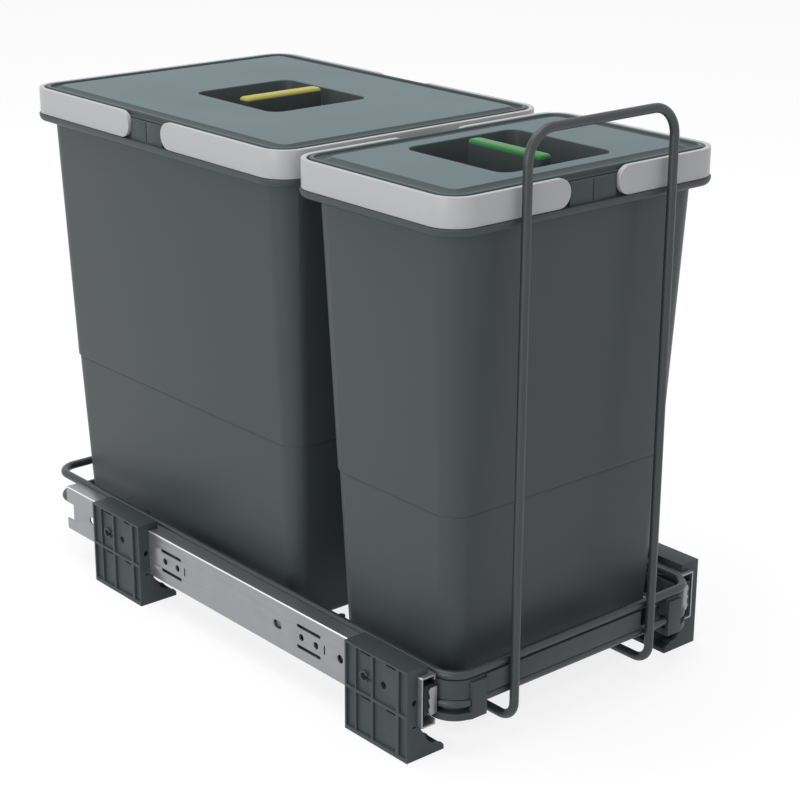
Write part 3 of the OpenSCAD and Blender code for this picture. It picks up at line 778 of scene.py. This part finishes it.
def add_pin(
    diameter: float,
    length: float,
    at: tuple[float, float, float],
    lean: tuple[float, float, float],
) -> Object:
    """Adds a round pin, with nothing else selected.

    Args:
        diameter: Its diameter.
        length: Its length.
        at: Its middle.
        lean: How it is turned from upright, in radians round X, Y and Z.

    Returns:
        The pin, in object mode.
    """
    bpy.ops.object.select_all(action="DESELECT")
    bpy.ops.mesh.primitive_cylinder_add(
        vertices=32, radius=diameter / 2, depth=length, location=at, rotation=lean
    )
    return bpy.context.object


def settle(piece: Object) -> None:
    """Moves a piece's place into its mesh, so that its object sits at the origin."""
    pick(piece)
    bpy.ops.object.transform_apply(location=True, rotation=True, scale=True)


def to_metres(piece: Object) -> None:
    """Brings a piece that was drawn in millimetres to metres, with its place in its mesh.

    Args:
        piece: The piece, in object mode.
    """
    piece.scale = (MM, MM, MM)
    piece.location *= MM
    settle(piece)


def cut(piece: Object, cutters: list[Object]) -> None:
    """Cuts pieces out of another, and removes them.

    Args:
        piece: The piece that is cut.
        cutters: Closed meshes.
    """
    for cutter in cutters:
        apply_modifier(
            piece,
            "BOOLEAN",
            {"operation": "DIFFERENCE", "object": cutter, "solver": "EXACT"},
        )
        bpy.data.objects.remove(cutter)


def join(name: str, parts: list[Object]) -> Object:
    """Joins pieces into one mesh.

    Args:
        name: The new name.
        parts: The pieces.

    Returns:
        The joined piece.
    """
    pick(parts[0])
    for part in parts[1:]:
        part.select_set(True)
    bpy.ops.object.join()
    made = bpy.context.object
    made.name = name
    made.data.name = name
    return made


def broken_edges(node: str, width_mm: float, over_deg: float = 50.0) -> Object:
    """Copies a CAD node, joins its loose triangles and breaks its sharp edges.

    Args:
        node: The CAD node, which the copy stands for.
        width_mm: Width of the rounding on its edges.
        over_deg: The rounding reaches edges that turn by more than this.

    Returns:
        The new piece, which isn't riding yet.
    """
    source = frame["nodes"][node]
    piece = source.copy()
    piece.data = source.data.copy()
    piece.parent = None
    piece.name = f"{node}_dressed"
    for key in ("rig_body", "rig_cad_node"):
        del piece[key]
    bpy.context.scene.collection.objects.link(piece)
    pick(piece)
    bpy.ops.mesh.customdata_custom_splitnormals_clear()
    bpy.ops.object.mode_set(mode="EDIT")
    bpy.ops.mesh.select_all(action="SELECT")
    bpy.ops.mesh.remove_doubles(threshold=MERGE_MM * MM)
    bpy.ops.mesh.dissolve_limited(angle_limit=math.radians(FLAT_DEG))
    bpy.ops.object.mode_set(mode="OBJECT")
    soften(piece, width_mm, over_deg, unit=MM)
    return piece


def stand_for(piece: Object, node: str, look: Look) -> Object:
    """Lets a finished piece replace a CAD node, ride on its body and take a finish.

    Args:
        piece: The new piece, in place.
        node: The CAD node that it stands for.
        look: Its finish.

    Returns:
        The piece.
    """
    body = frame["nodes"][node]["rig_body"]
    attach(piece, body)
    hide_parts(node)
    dress(piece, look)
    log.info("%s stands for %s and rides on %s", piece.name, node, body)
    return piece


@dataclass
class Bin:
    """A drafted bin with a step round its middle, a ledge and a rim for its handles."""

    node: str
    depth: float
    middle_y: float
    # How far the tub stands in from the handles: at each side, the front and the rear
    set_in: tuple[float, float, float]
    # How far each wall leans in from the ledge to the step: at the sides, and the ends
    draft: tuple[float, float]
    tip_gap: float
    turn: Turn
    width: float = BIN_WIDTH
    wall: float = 1.8
    corner: float = 20.0
    # Corner radii at the foot, the step and the ledge
    radii: tuple[float, float, float] = (12.0, 14.0, 18.0)
    edge: float = 0.25
    bottom_z: float = 21.52
    foot_edge: float = 3.2
    lower_draft: float = 5.3
    step_z: float = 152.3
    step_in: float = 0.8
    # How far the step's edge is broken, inwards and upwards
    step_edge: tuple[float, float] = (0.1, 0.3)
    # How far under the step its groove starts, is at its full depth, and ends
    groove: tuple[float, float, float] = (1.3, 0.9, 0.1)
    groove_depth: float = 0.25
    # How far from the edge of a long wall an outline keeps its shading even
    support: float = 2.0
    ledge_z: float = 337.0
    ledge_out: float = 1.0
    ledge_thick: float = 5.0
    ledge_lip: float = 0.6
    ledge_under: float = 2.5
    ledge_edge: float = 0.35
    ledge_root: float = 0.15
    rim_z: float = 351.5
    rim_set: float = 3.8
    rim_wall: float = 2.0
    band_height: float = 18.2
    pivot_z: float = 346.4
    pivot_d: float = 6.0
    land_set: float = 1.7
    land_gap: float = 1.0
    land_thick: float = 3.1
    land_root: float = 0.2
    # Width and depth of the seam in a land, and how far above the ledge it ends
    seam: tuple[float, float, float] = (1.2, 0.8, 1.0)

    def skin(self, shrink: float) -> list[Outline]:
        """Gives the outlines of the tub from its foot to the ledge.

        Args:
            shrink: How far the skin lies inside the outer one.

        Returns:
            The outlines, the lowest first.
        """
        foot_r, step_r, body_r = self.radii
        w_top = self.width - 2 * (self.set_in[0] + shrink)
        d_top = self.depth - self.set_in[1] - self.set_in[2] - 2 * shrink
        w_step, d_step = w_top - 2 * self.draft[0], d_top - 2 * self.draft[1]
        w_low, d_low = w_step - 2 * self.step_in, d_step - 2 * self.step_in
        less = 2 * (self.step_in + self.lower_draft)
        w_foot, d_foot = w_step - less, d_step - less
        low, step = self.bottom_z + shrink, self.step_z + shrink
        rounded = []
        for degrees in (0.0, 22.5, 45.0, 67.5, 90.0):
            turn = math.radians(degrees)
            inset = 2 * self.foot_edge * (1 - math.sin(turn))
            rise = self.foot_edge * (1 - math.cos(turn))
            rounded.append(
                Outline(low + rise, w_foot - inset, d_foot - inset, foot_r - inset / 2)
            )
        start, full, end = self.groove
        deep, groove_r = 2 * self.groove_depth, step_r - self.groove_depth
        edge_in, edge_up = 2 * self.step_edge[0], self.step_edge[1]
        root = 2 * self.ledge_root
        foot, below = rounded[-1], Outline(step - start, w_low, d_low, step_r)
        above = Outline(step + edge_up, w_step, d_step, step_r)
        under = self.ledge_z - self.ledge_thick
        top = Outline(under, w_top - root, d_top - root, body_r - shrink)
        return rounded + [
            foot.towards(below, self.support),
            below.towards(foot, self.support),
            below,
            Outline(step - full, w_low - deep, d_low - deep, groove_r),
            Outline(step - end, w_low - deep, d_low - deep, groove_r),
            Outline(step, w_step - edge_in, d_step - edge_in, step_r),
            above,
            above.towards(top, self.support),
            top.towards(above, self.support),
            top,
        ]

    def ring(self, out: float, z: float) -> Outline:
        """Gives the outline that stands out from the handles' outer face at a height."""
        return Outline(z, self.width + 2 * out, self.depth + 2 * out, self.corner + out)

    def ledge(self) -> list[Outline]:
        """Gives the outlines round the ledge's edge, which curves in underneath.

        Returns:
            The outlines, the lowest first.
        """
        found = []
        for degrees in range(-90, 1, 18):
            turn = math.radians(degrees)
            out = self.ledge_out - self.ledge_under * (1 - math.cos(turn))
            fall = (self.ledge_thick - self.ledge_lip) * math.sin(turn)
            found.append(self.ring(out, self.ledge_z - self.ledge_lip + fall))
        return [*found, self.ring(self.ledge_out - self.ledge_edge, self.ledge_z)]

    def rim(self) -> list[Outline]:
        """Gives the outlines up the rim, over its top and down its inside.

        Returns:
            The outlines in that order.
        """
        outer, inner = -self.rim_set, -(self.rim_set + self.rim_wall)
        return [
            self.ring(outer, self.ledge_z),
            self.ring(outer, self.rim_z),
            self.ring(inner, self.rim_z),
            self.ring(inner, self.ledge_z),
        ]

    def cutters(self, middle: Vector) -> list[Object]:
        """Makes the closed shapes that cut the pivot holes in the rim.

        Args:
            middle: The middle of the bin's handles, in millimetres.

        Returns:
            The cutters.
        """
        sideways = self.turn is Turn.QUARTER
        half = (self.depth if sideways else self.width) / 2 - self.rim_set
        along = (self.tip_gap + self.band_height) / 2
        lean = (math.pi / 2, 0, 0) if sideways else (0, math.pi / 2, 0)
        made = []
        for end in (-1, 1):
            for tip in (-1, 1):
                place = (end * half, tip * along)
                x, y = (place[1], place[0]) if sideways else place
                at = (middle.x + x, middle.y + y, self.pivot_z)
                made.append(add_pin(self.pivot_d, 4 * self.rim_wall, at, lean))
        return made

    def block(
        self, middle: Vector, out: float, size: tuple[float, float, float]
    ) -> Object:
        """Adds a block whose top is level with the rim's, and its length along the rim.

        Args:
            middle: The middle of the bin's handles, in millimetres.
            out: How far the block's middle stands out from there.
            size: Its thickness, its length along the rim and its height.

        Returns:
            The block.
        """
        thick, wide, high = size
        sideways = self.turn is Turn.QUARTER
        x, y = (0.0, out) if sideways else (out, 0.0)
        bpy.ops.object.select_all(action="DESELECT")
        bpy.ops.mesh.primitive_cube_add(
            size=1,
            location=(middle.x + x, middle.y + y, self.rim_z - high / 2),
            scale=(wide, thick, high) if sideways else (thick, wide, high),
        )
        made = bpy.context.object
        settle(made)
        return made

    def lands(self, middle: Vector) -> list[Object]:
        """Models the raised lands between the handle tips, each split by a seam.

        Args:
            middle: The middle of the bin's handles, in millimetres.

        Returns:
            The lands.
        """
        reach = (self.depth if self.turn is Turn.QUARTER else self.width) / 2
        face = reach - self.land_set
        high = self.rim_z - self.ledge_z
        wide = self.tip_gap - 2 * self.land_gap
        seam_wide, seam_deep, seam_end = self.seam
        made = []
        for end in (-1, 1):
            land = self.block(
                middle,
                end * (face - self.land_thick / 2),
                (self.land_thick, wide, high + self.land_root),
            )
            seam = self.block(
                middle, end * face, (2 * seam_deep, seam_wide, high - seam_end)
            )
            cut(land, [seam])
            soften(land, self.edge, over_deg=50.0)
            made.append(land)
        return made

    def build(self) -> Object:
        """Models the bin, and lets it stand for its CAD node.

        Returns:
            The bin.
        """
        handles = Vector((0.0, self.middle_y, 0.0))
        body = Vector((0.0, self.middle_y + (self.set_in[1] - self.set_in[2]) / 2, 0.0))
        shift = body.y - handles.y
        outer, inner = self.skin(0.0), self.skin(self.wall)
        outlines = outer + self.ledge() + self.rim() + inner[::-1]
        piece = loft(f"{self.node}_shell", outlines, body)
        # The ledge and rim stand round the middle of the handles, the tub a little off it
        self.shift_rim(piece, -shift)
        cut(piece, self.cutters(handles))
        soften(piece, self.edge, over_deg=30.0)
        whole = join(f"{self.node}_shell", [piece, *self.lands(handles)])
        to_metres(whole)
        return stand_for(whole, self.node, Look.bin_plastic)

    def shift_rim(self, piece: Object, shift: float) -> None:
        """Moves the ledge and rim along Y, away from the middle of the tub.

        Args:
            piece: The lofted bin.
            shift: The move in millimetres.
        """
        slack = 0.01
        low = self.ledge_z - self.ledge_thick - slack
        half_x = self.width / 2 - self.set_in[0] - slack
        half_y = self.depth / 2 - max(self.set_in[1:])
        centre_y = self.middle_y - shift
        pick(piece)
        bpy.ops.object.mode_set(mode="EDIT")
        select_points(
            piece,
            lambda at: at.z > low
            and (abs(at.x) > half_x or abs(at.y - centre_y) > half_y),
        )
        bpy.ops.transform.translate(value=(0, shift, 0))
        bpy.ops.object.mode_set(mode="OBJECT")


@dataclass
class HandleBand:
    """Half of a rounded ring round the rim, with round ends on two pivots."""

    node: str
    width: float
    depth: float
    tip_gap: float
    middle_y: float
    turn: Turn
    thick: float = 3.5
    height: float = 18.2
    low_z: float = 337.3
    corner: float = 20.0
    corner_steps: int = 14
    tip_steps: int = 10
    # How much of half its height a round end takes, so that its two corners don't meet
    tip_share: float = 0.999
    edge: float = 1.5
    rim_gap: float = 0.3
    rim_wall: float = 2.0
    head_gap: float = 0.2
    pivot_d: float = 5.9
    pivot_root: float = 1.0
    head_d: float = 8.0
    head_step: float = 0.05
    head_thick: float = 1.1

    def build(self) -> Object:
        """Models the band, and lets it stand for its CAD node.

        Returns:
            The band.
        """
        pivot_y = -(self.tip_gap + self.height) / 2
        end_y = pivot_y + self.height / 2
        name = f"{self.node}_band"
        piece = start_piece(name)
        shape = Outline(self.low_z, self.width, self.depth, self.corner)
        draw_outline(shape, Vector((0, 0, 0)), self.corner_steps)
        bpy.ops.mesh.delete(type="ONLY_FACE")
        bpy.ops.mesh.select_all(action="SELECT")
        bpy.ops.mesh.bisect(
            plane_co=(0, end_y, 0), plane_no=(0, 1, 0), clear_outer=True
        )
        bpy.ops.mesh.select_all(action="SELECT")
        bpy.ops.mesh.extrude_edges_move(
            TRANSFORM_OT_translate={"value": (0, 0, self.height)}
        )
        self.round_ends(piece, end_y)
        bpy.ops.mesh.select_all(action="SELECT")
        bpy.ops.mesh.normals_make_consistent(inside=False)
        bpy.ops.object.mode_set(mode="OBJECT")
        self.face_outwards(piece)
        apply_modifier(piece, "SOLIDIFY", {"thickness": self.thick, "offset": -1.0})
        soften(piece, self.edge, over_deg=50.0)
        whole = join(name, [piece, *self.pivots(pivot_y)])
        whole.rotation_euler.z = math.radians(self.turn.value)
        whole.location.y = self.middle_y
        to_metres(whole)
        return stand_for(whole, self.node, Look.handle_plastic)

    def round_ends(self, piece: Object, end_y: float) -> None:
        """Rounds both ends of the upright strip to half circles.

        Args:
            piece: The strip, in edit mode.
            end_y: Where the strip ends along Y, in millimetres.
        """
        near = 0.001
        select_points(piece, lambda at: abs(at.y - end_y) < near)
        round_corners(self.height / 2 * self.tip_share, self.tip_steps)

    def face_outwards(self, piece: Object) -> None:
        """Turns the open strip's faces so that they all point away from the bin.

        Args:
            piece: The strip, in object mode.
        """
        mesh = bmesh.new()
        mesh.from_mesh(piece.data)
        front = min(mesh.faces, key=lambda face: face.calc_center_median().y)
        if front.normal.y > 0:
            bmesh.ops.reverse_faces(mesh, faces=mesh.faces)
        mesh.to_mesh(piece.data)
        mesh.free()

    def pivots(self, pivot_y: float) -> list[Object]:
        """Models the two pivots, each a stem through the rim with a head behind it.

        Args:
            pivot_y: Where the pivots stand along Y, in millimetres.

        Returns:
            The pivots.
        """
        made = []
        inner = self.width / 2 - self.thick
        stem = self.rim_gap + self.rim_wall + self.head_gap
        middle = inner - (stem - self.pivot_root) / 2
        spread = self.head_d / self.pivot_d
        for end in (-1, 1):
            pin = add_pin(
                self.pivot_d,
                stem + self.pivot_root,
                (end * middle, pivot_y, self.low_z + self.height / 2),
                (0, end * math.pi / 2, 0),
            )
            bpy.ops.object.mode_set(mode="EDIT")
            select_facing(pin, Vector((0, 0, -1)))
            bpy.ops.mesh.extrude_region_move(
                TRANSFORM_OT_translate={"value": (-end * self.head_step, 0, 0)}
            )
            bpy.ops.transform.resize(value=(1, spread, spread))
            bpy.ops.mesh.extrude_region_move(
                TRANSFORM_OT_translate={"value": (-end * self.head_thick, 0, 0)}
            )
            bpy.ops.object.mode_set(mode="OBJECT")
            settle(pin)
            smooth(pin)
            made.append(pin)
        return made


@dataclass
class Lid:
    """A lid with a beaded edge, a sloped groove, a raised panel and a finger pocket."""

    node: str
    cap_node: str
    depth: float
    middle_y: float
    pocket: tuple[float, float]
    turn: Turn
    cap_look: Look
    width: float = BIN_WIDTH
    set_in: float = 4.0
    corner: float = 20.0
    least_corner: float = 6.0
    lid_z: float = 351.6
    panel_z: float = 356.1
    plate: float = 2.0
    rounding: float = 0.3
    # How high the lid's edge stands upright, and how high its slope to the bead ends
    rise: tuple[float, float] = (0.6, 1.2)
    bead: float = 3.2
    bead_set: float = 1.2
    margin: float = 12.0
    slope: float = 5.2
    # How far the slope stops short of the panel to round its edge: sideways, in height
    panel_edge: tuple[float, float] = (0.6, 0.5)
    skirt_set: float = 4.0
    skirt_thick: float = 1.5
    skirt_height: float = 10.0
    wall: float = 1.8
    foot_edge: float = 1.0
    pocket_depth: float = 20.0
    pocket_corner: float = 9.0
    # The pocket's upper edge: how far out of its outline, and how far under the panel
    pocket_edge: tuple[tuple[float, float], ...] = (
        (9.0, 0.0),
        (2.0, 0.0),
        (0.9, 0.0),
        (0.25, 0.3),
        (0.0, 1.0),
    )
    # The pocket's foot: how far inside its outline, and how far over its floor
    pocket_foot: tuple[tuple[float, float], ...] = ((0.4, 2.0), (1.0, 0.6), (2.4, 0.0))
    # How far beside the slope an outline keeps the flat's shading even
    support: float = 1.0
    grip: tuple[float, float] = (66.0, 11.0)
    # Radius of the grip's corners as a share of its width, and what they lose to an inset
    grip_corner: tuple[float, float] = (0.3, 0.5)
    grip_steps: int = 6
    # The grip's root: how far outside its outline, and how far over the pocket's floor
    grip_root: tuple[tuple[float, float], ...] = ((1.0, -0.4), (0.4, 1.0), (0.0, 4.0))
    # The grip's top, which the cap hides: how far inside its outline, and under the cap's
    grip_top: tuple[tuple[float, float], ...] = ((-0.06, 2.0), (0.3, 1.9))
    cap_height: float = 3.4
    cap_rise: float = 2.4
    cap_edge: float = 0.3
    # The cap's crown: how far inside its outline, and how far under its top
    crown: tuple[tuple[float, float], ...] = (
        (0.0, 1.7),
        (0.35, 0.8),
        (1.1, 0.2),
        (2.2, 0.0),
    )

    def edge(self, inset: float, z: float) -> Outline:
        """Gives the outline that lies inside the lid's edge by an inset.

        Args:
            inset: How far inside.
            z: Its height.

        Returns:
            The outline.
        """
        side = self.set_in + inset
        radius = max(self.corner - side, self.least_corner)
        return Outline(z, self.width - 2 * side, self.depth - 2 * side, radius)

    def well(self, grow: float, z: float) -> Outline:
        """Gives the outline of the finger pocket, grown by a distance."""
        w, d = self.pocket
        return Outline(z, w + 2 * grow, d + 2 * grow, self.pocket_corner + grow)

    def bar(self, inset: float, z: float) -> Outline:
        """Gives the outline that lies inside the grip's long sides by an inset.

        Args:
            inset: How far inside.
            z: Its height.

        Returns:
            The outline.
        """
        length, wide = self.grip
        share, loss = self.grip_corner
        corner = wide * share - inset * loss
        if self.turn is Turn.QUARTER:
            length, wide = wide, length
        return Outline(z, length - 2 * inset, wide - 2 * inset, corner)

    def skin(self) -> list[Outline]:
        """Gives the outlines from under the pocket, round the edge and into the pocket.

        Returns:
            The outlines in that order.
        """
        lid_z, panel_z = self.lid_z, self.panel_z
        floor_z = panel_z - self.pocket_depth
        under = panel_z - self.plate
        inside = self.skirt_set + self.skirt_thick
        upright, sloped = self.rise
        outlines = [
            self.well(self.wall - self.foot_edge, floor_z - self.wall),
            self.well(self.wall, floor_z - self.wall + self.foot_edge),
            self.well(self.wall, under),
            self.edge(self.margin + self.plate, under),
            self.edge(self.margin + self.plate, lid_z),
            self.edge(inside, lid_z),
            self.edge(inside, lid_z - self.skirt_height),
            self.edge(self.skirt_set, lid_z - self.skirt_height),
            self.edge(self.skirt_set, lid_z),
            self.edge(0.0, lid_z),
            self.edge(0.0, lid_z + upright),
            self.edge(self.bead_set, lid_z + sloped),
        ]
        radius = self.bead / 2
        for degrees in range(0, 181, 30):
            turn = math.radians(degrees)
            inset = self.bead_set + radius * (1 - math.cos(turn))
            z = panel_z - radius + radius * math.sin(turn)
            outlines.append(self.edge(inset, z))
        toe = self.margin - self.slope
        short, low = self.panel_edge
        outlines += [
            self.edge(toe - self.support, lid_z + self.plate),
            self.edge(toe, lid_z + self.plate),
            self.edge(self.margin - short, panel_z - low),
            self.edge(self.margin, panel_z),
            self.edge(self.margin + self.support, panel_z),
        ]
        outlines += [self.well(out, panel_z - down) for out, down in self.pocket_edge]
        outlines += [self.well(-into, floor_z + up) for into, up in self.pocket_foot]
        return outlines

    def build(self) -> list[Object]:
        """Models the lid and its cap, and lets them stand for their CAD nodes.

        Returns:
            The lid and the cap.
        """
        at = Vector((0.0, self.middle_y, 0.0))
        floor_z = self.panel_z - self.pocket_depth
        top = self.panel_z + self.cap_rise
        shell = loft(f"{self.node}_shell", self.skin(), at)
        soften(shell, self.rounding, over_deg=60.0, smooth_deg=25.0)
        outlines = [self.bar(-out, floor_z + up) for out, up in self.grip_root]
        outlines += [self.bar(inset, top - down) for inset, down in self.grip_top]
        grip = loft(f"{self.node}_grip", outlines, at, self.grip_steps)
        smooth(grip)
        foot = top - self.cap_height
        outlines = [self.bar(self.cap_edge, foot), self.bar(0.0, foot + self.cap_edge)]
        outlines += [self.bar(inset, top - down) for inset, down in self.crown]
        cap = loft(f"{self.cap_node}_top", outlines, at, self.grip_steps)
        smooth(cap, under_deg=50.0)
        lid = join(f"{self.node}_shell", [shell, grip])
        to_metres(lid)
        to_metres(cap)
        return [
            stand_for(lid, self.node, Look.lid_plastic),
            stand_for(cap, self.cap_node, self.cap_look),
        ]


@dataclass
class Chassis:
    """The brackets, slides, wires and clips that carry the bins.

    Each row gives a node, or the first words of a pair's names, the width in millimetres
    of the rounding on its edges where it gets one, and its finish.
    """

    brackets: tuple[tuple[str, float, Look], ...] = (
        ("bracket_front", 0.35, Look.bracket_plastic),
        ("bracket_rear", 0.35, Look.bracket_plastic),
    )
    slides: tuple[tuple[str, float, Look], ...] = (
        ("outer_rail", 0.12, Look.zinc_sheet),
        ("middle_rail", 0.12, Look.zinc_sheet),
        ("inner_rail", 0.12, Look.zinc_sheet),
        ("corner_clip", 0.4, Look.bracket_plastic),
        ("middle_buffer", 0.4, Look.black_plastic),
    )
    strip: tuple[str, float, Look] = ("front_strip", 0.4, Look.bin_plastic)
    kept: tuple[tuple[str, Look], ...] = (
        ("rail_screws", Look.screw_steel),
        ("clip_screws", Look.screw_steel),
        ("upper_wire_ring", Look.coated_wire),
        ("lower_wire_ring", Look.coated_wire),
        ("front_hoop", Look.coated_wire),
        ("cross_wires", Look.coated_wire),
        ("ring_stubs", Look.coated_wire),
    )
    kept_pairs: tuple[tuple[str, Look], ...] = (
        ("outer_cage", Look.cage_sheet),
        ("inner_cage", Look.cage_sheet),
        ("outer_balls", Look.ball_steel),
        ("inner_balls", Look.ball_steel),
    )

    def build(self) -> None:
        """Breaks the edges of the mouldings and sheet, and dresses what stays."""
        for rows in (self.brackets, self.slides):
            for side in Side:
                for kind, width_mm, look in rows:
                    node = f"{kind}_{side.value}"
                    stand_for(broken_edges(node, width_mm), node, look)
        node, width_mm, look = self.strip
        stand_for(broken_edges(node, width_mm), node, look)
        pairs = [
            (f"{kind}_{side.value}", look)
            for kind, look in self.kept_pairs
            for side in Side
        ]
        for node, look in [*self.kept, *pairs]:
            dress(frame["nodes"][node], look)
            log.info("%s keeps its CAD shape", node)


@dataclass(frozen=True)
class Softbox:
    """A soft square lamp: its place and side in metres, and its power in watts."""

    name: str
    at: tuple[float, float, float]
    side: float
    watts: float

    def hang(self, to: Vector) -> None:
        """Hangs the lamp.

        Args:
            to: The point that it faces.
        """
        at = Vector(self.at)
        bpy.ops.object.light_add(type="AREA", location=at)
        lamp = bpy.context.object
        lamp.name = self.name
        lamp.data.shape = "SQUARE"
        lamp.data.size = self.side
        lamp.data.energy = self.watts
        lamp.rotation_euler = (to - at).to_track_quat("-Z", "Y").to_euler()


@dataclass
class Studio:
    """The pale floor, soft lamps, white surround and camera of the photograph."""

    # The camera's place, lens and sensor in millimetres, and its angles in degrees
    camera_at: tuple[float, float, float] = (-832.3, -1019.8, 616.6)
    azimuth: float = -40.6
    elevation: float = 19.48
    roll: float = 0.245
    lens: float = 88.74
    sensor: float = 36.0
    sky: float = 0.46
    floor_glow: float = 0.82
    floor_size: float = 12.0
    lamps: tuple[Softbox, ...] = (
        Softbox("top_softbox", (-0.3, 0.3, 2.4), 2.0, 30.0),
        Softbox("left_softbox", (-3.5, -0.8, 0.9), 2.2, 48.0),
        Softbox("front_softbox", (0.4, -2.8, 1.2), 1.6, 3.0),
    )

    def seen(self, tree: NodeTree) -> Socket:
        """Adds what is 1 where a camera, glossy or transmission ray meets the surface.

        Args:
            tree: The node tree of the floor or of the world.

        Returns:
            That share, for a choice between what lights the unit and what shows.
        """
        path = add_node(tree, "ShaderNodeLightPath")
        found = path.outputs["Is Camera Ray"]
        for ray in ("Is Glossy Ray", "Is Transmission Ray"):
            either = add_node(
                tree,
                "ShaderNodeMath",
                {"operation": "MAXIMUM"},
                {0: found, 1: path.outputs[ray]},
            )
            found = either.outputs[0]
        return found

    def world(self) -> None:
        """Makes a white surround that lights the unit more dimly than it shows."""
        world = bpy.data.worlds.new("studio")
        bpy.context.scene.world = world
        world.use_nodes = True
        tree = world.node_tree
        tree.nodes.clear()
        light, shown = (
            add_node(
                tree, "ShaderNodeBackground", {"Color": WHITE, "Strength": strength}
            )
            for strength in (self.sky, 1.0)
        )
        both = add_node(
            tree,
            "ShaderNodeMixShader",
            None,
            {0: self.seen(tree), 1: light.outputs[0], 2: shown.outputs[0]},
        )
        add_node(tree, "ShaderNodeOutputWorld", None, {"Surface": both.outputs[0]})

    def floor(self) -> None:
        """Lays the pale floor, which keeps a faint shadow of the unit."""
        made, tree, _ = new_material("pale_floor")
        paper, shade = (
            add_node(tree, "ShaderNodeBsdfDiffuse", {"Color": linear(colour)})
            for colour in ("#e6e6e6", "#868686")
        )
        glow = add_node(
            tree, "ShaderNodeEmission", {"Color": WHITE, "Strength": self.floor_glow}
        )
        shown = add_node(
            tree, "ShaderNodeAddShader", None, {0: shade.outputs[0], 1: glow.outputs[0]}
        )
        both = add_node(
            tree,
            "ShaderNodeMixShader",
            None,
            {0: self.seen(tree), 1: paper.outputs[0], 2: shown.outputs[0]},
        )
        add_node(tree, "ShaderNodeOutputMaterial", None, {"Surface": both.outputs[0]})
        bpy.ops.object.select_all(action="DESELECT")
        bpy.ops.mesh.primitive_plane_add(size=self.floor_size, location=(0, 0, 0))
        ground = bpy.context.object
        ground.name = "studio_floor"
        ground.data.materials.append(made)

    def camera(self) -> None:
        """Sets the camera where the photograph was taken from."""
        az, el, roll = (
            math.radians(a) for a in (self.azimuth, self.elevation, self.roll)
        )
        back = Vector(
            (math.sin(az) * math.cos(el), -math.cos(az) * math.cos(el), math.sin(el))
        )
        level = Vector((math.cos(az), math.sin(az), 0.0))
        lift = back.cross(level)
        right = level * math.cos(roll) + lift * math.sin(roll)
        up = lift * math.cos(roll) - level * math.sin(roll)
        pose = Matrix((right, up, back)).transposed().to_4x4()
        pose.translation = Vector(self.camera_at) * MM
        data = bpy.data.cameras.new("photo_camera")
        data.sensor_width = self.sensor
        data.lens = self.lens
        data.clip_start = 0.01
        data.clip_end = 50.0
        made = bpy.data.objects.new("photo_camera", data)
        bpy.context.scene.collection.objects.link(made)
        made.matrix_world = pose
        bpy.context.scene.camera = made

    def build(self) -> None:
        """Sets up the whole studio."""
        bpy.context.scene.view_settings.view_transform = "Standard"
        self.world()
        self.floor()
        middle = Vector((0.0, 0.0, 0.2))
        for lamp in self.lamps:
            lamp.hang(middle)
        self.camera()


def main() -> None:
    """Builds the unit's looks piece by piece."""
    logging.basicConfig(level=logging.INFO, format="%(name)s: %(message)s")
    Studio().build()
    Chassis().build()
    large = {"depth": LARGE_DEPTH, "middle_y": LARGE_Y}
    small = {"depth": SMALL_DEPTH, "middle_y": SMALL_Y}
    Bin(
        "large_bin",
        **large,
        set_in=(10, 8.7, 5.2),
        draft=(8, 4.7),
        tip_gap=LARGE_TIPS,
        turn=Turn.NONE,
    ).build()
    Bin(
        "small_bin",
        **small,
        set_in=(10, 8.3, 7.8),
        draft=(8.5, 7.4),
        tip_gap=SMALL_TIPS,
        turn=Turn.QUARTER,
    ).build()
    for node, turn in (
        ("large_front_handle", Turn.NONE),
        ("large_rear_handle", Turn.HALF),
    ):
        HandleBand(node, BIN_WIDTH, LARGE_DEPTH, LARGE_TIPS, LARGE_Y, turn).build()
    for node, turn in (
        ("small_left_handle", Turn.BACK),
        ("small_right_handle", Turn.QUARTER),
    ):
        HandleBand(node, SMALL_DEPTH, BIN_WIDTH, SMALL_TIPS, SMALL_Y, turn).build()
    Lid(
        "large_lid",
        "yellow_grip_cap",
        **large,
        pocket=(83.0, 94.0),
        turn=Turn.NONE,
        cap_look=Look.yellow_plastic,
    ).build()
    Lid(
        "small_lid",
        "green_grip_cap",
        **small,
        pocket=(94.0, 91.0),
        turn=Turn.QUARTER,
        cap_look=Look.green_plastic,
        margin=14.0,
    ).build()


if __name__ == "__main__":
    main()
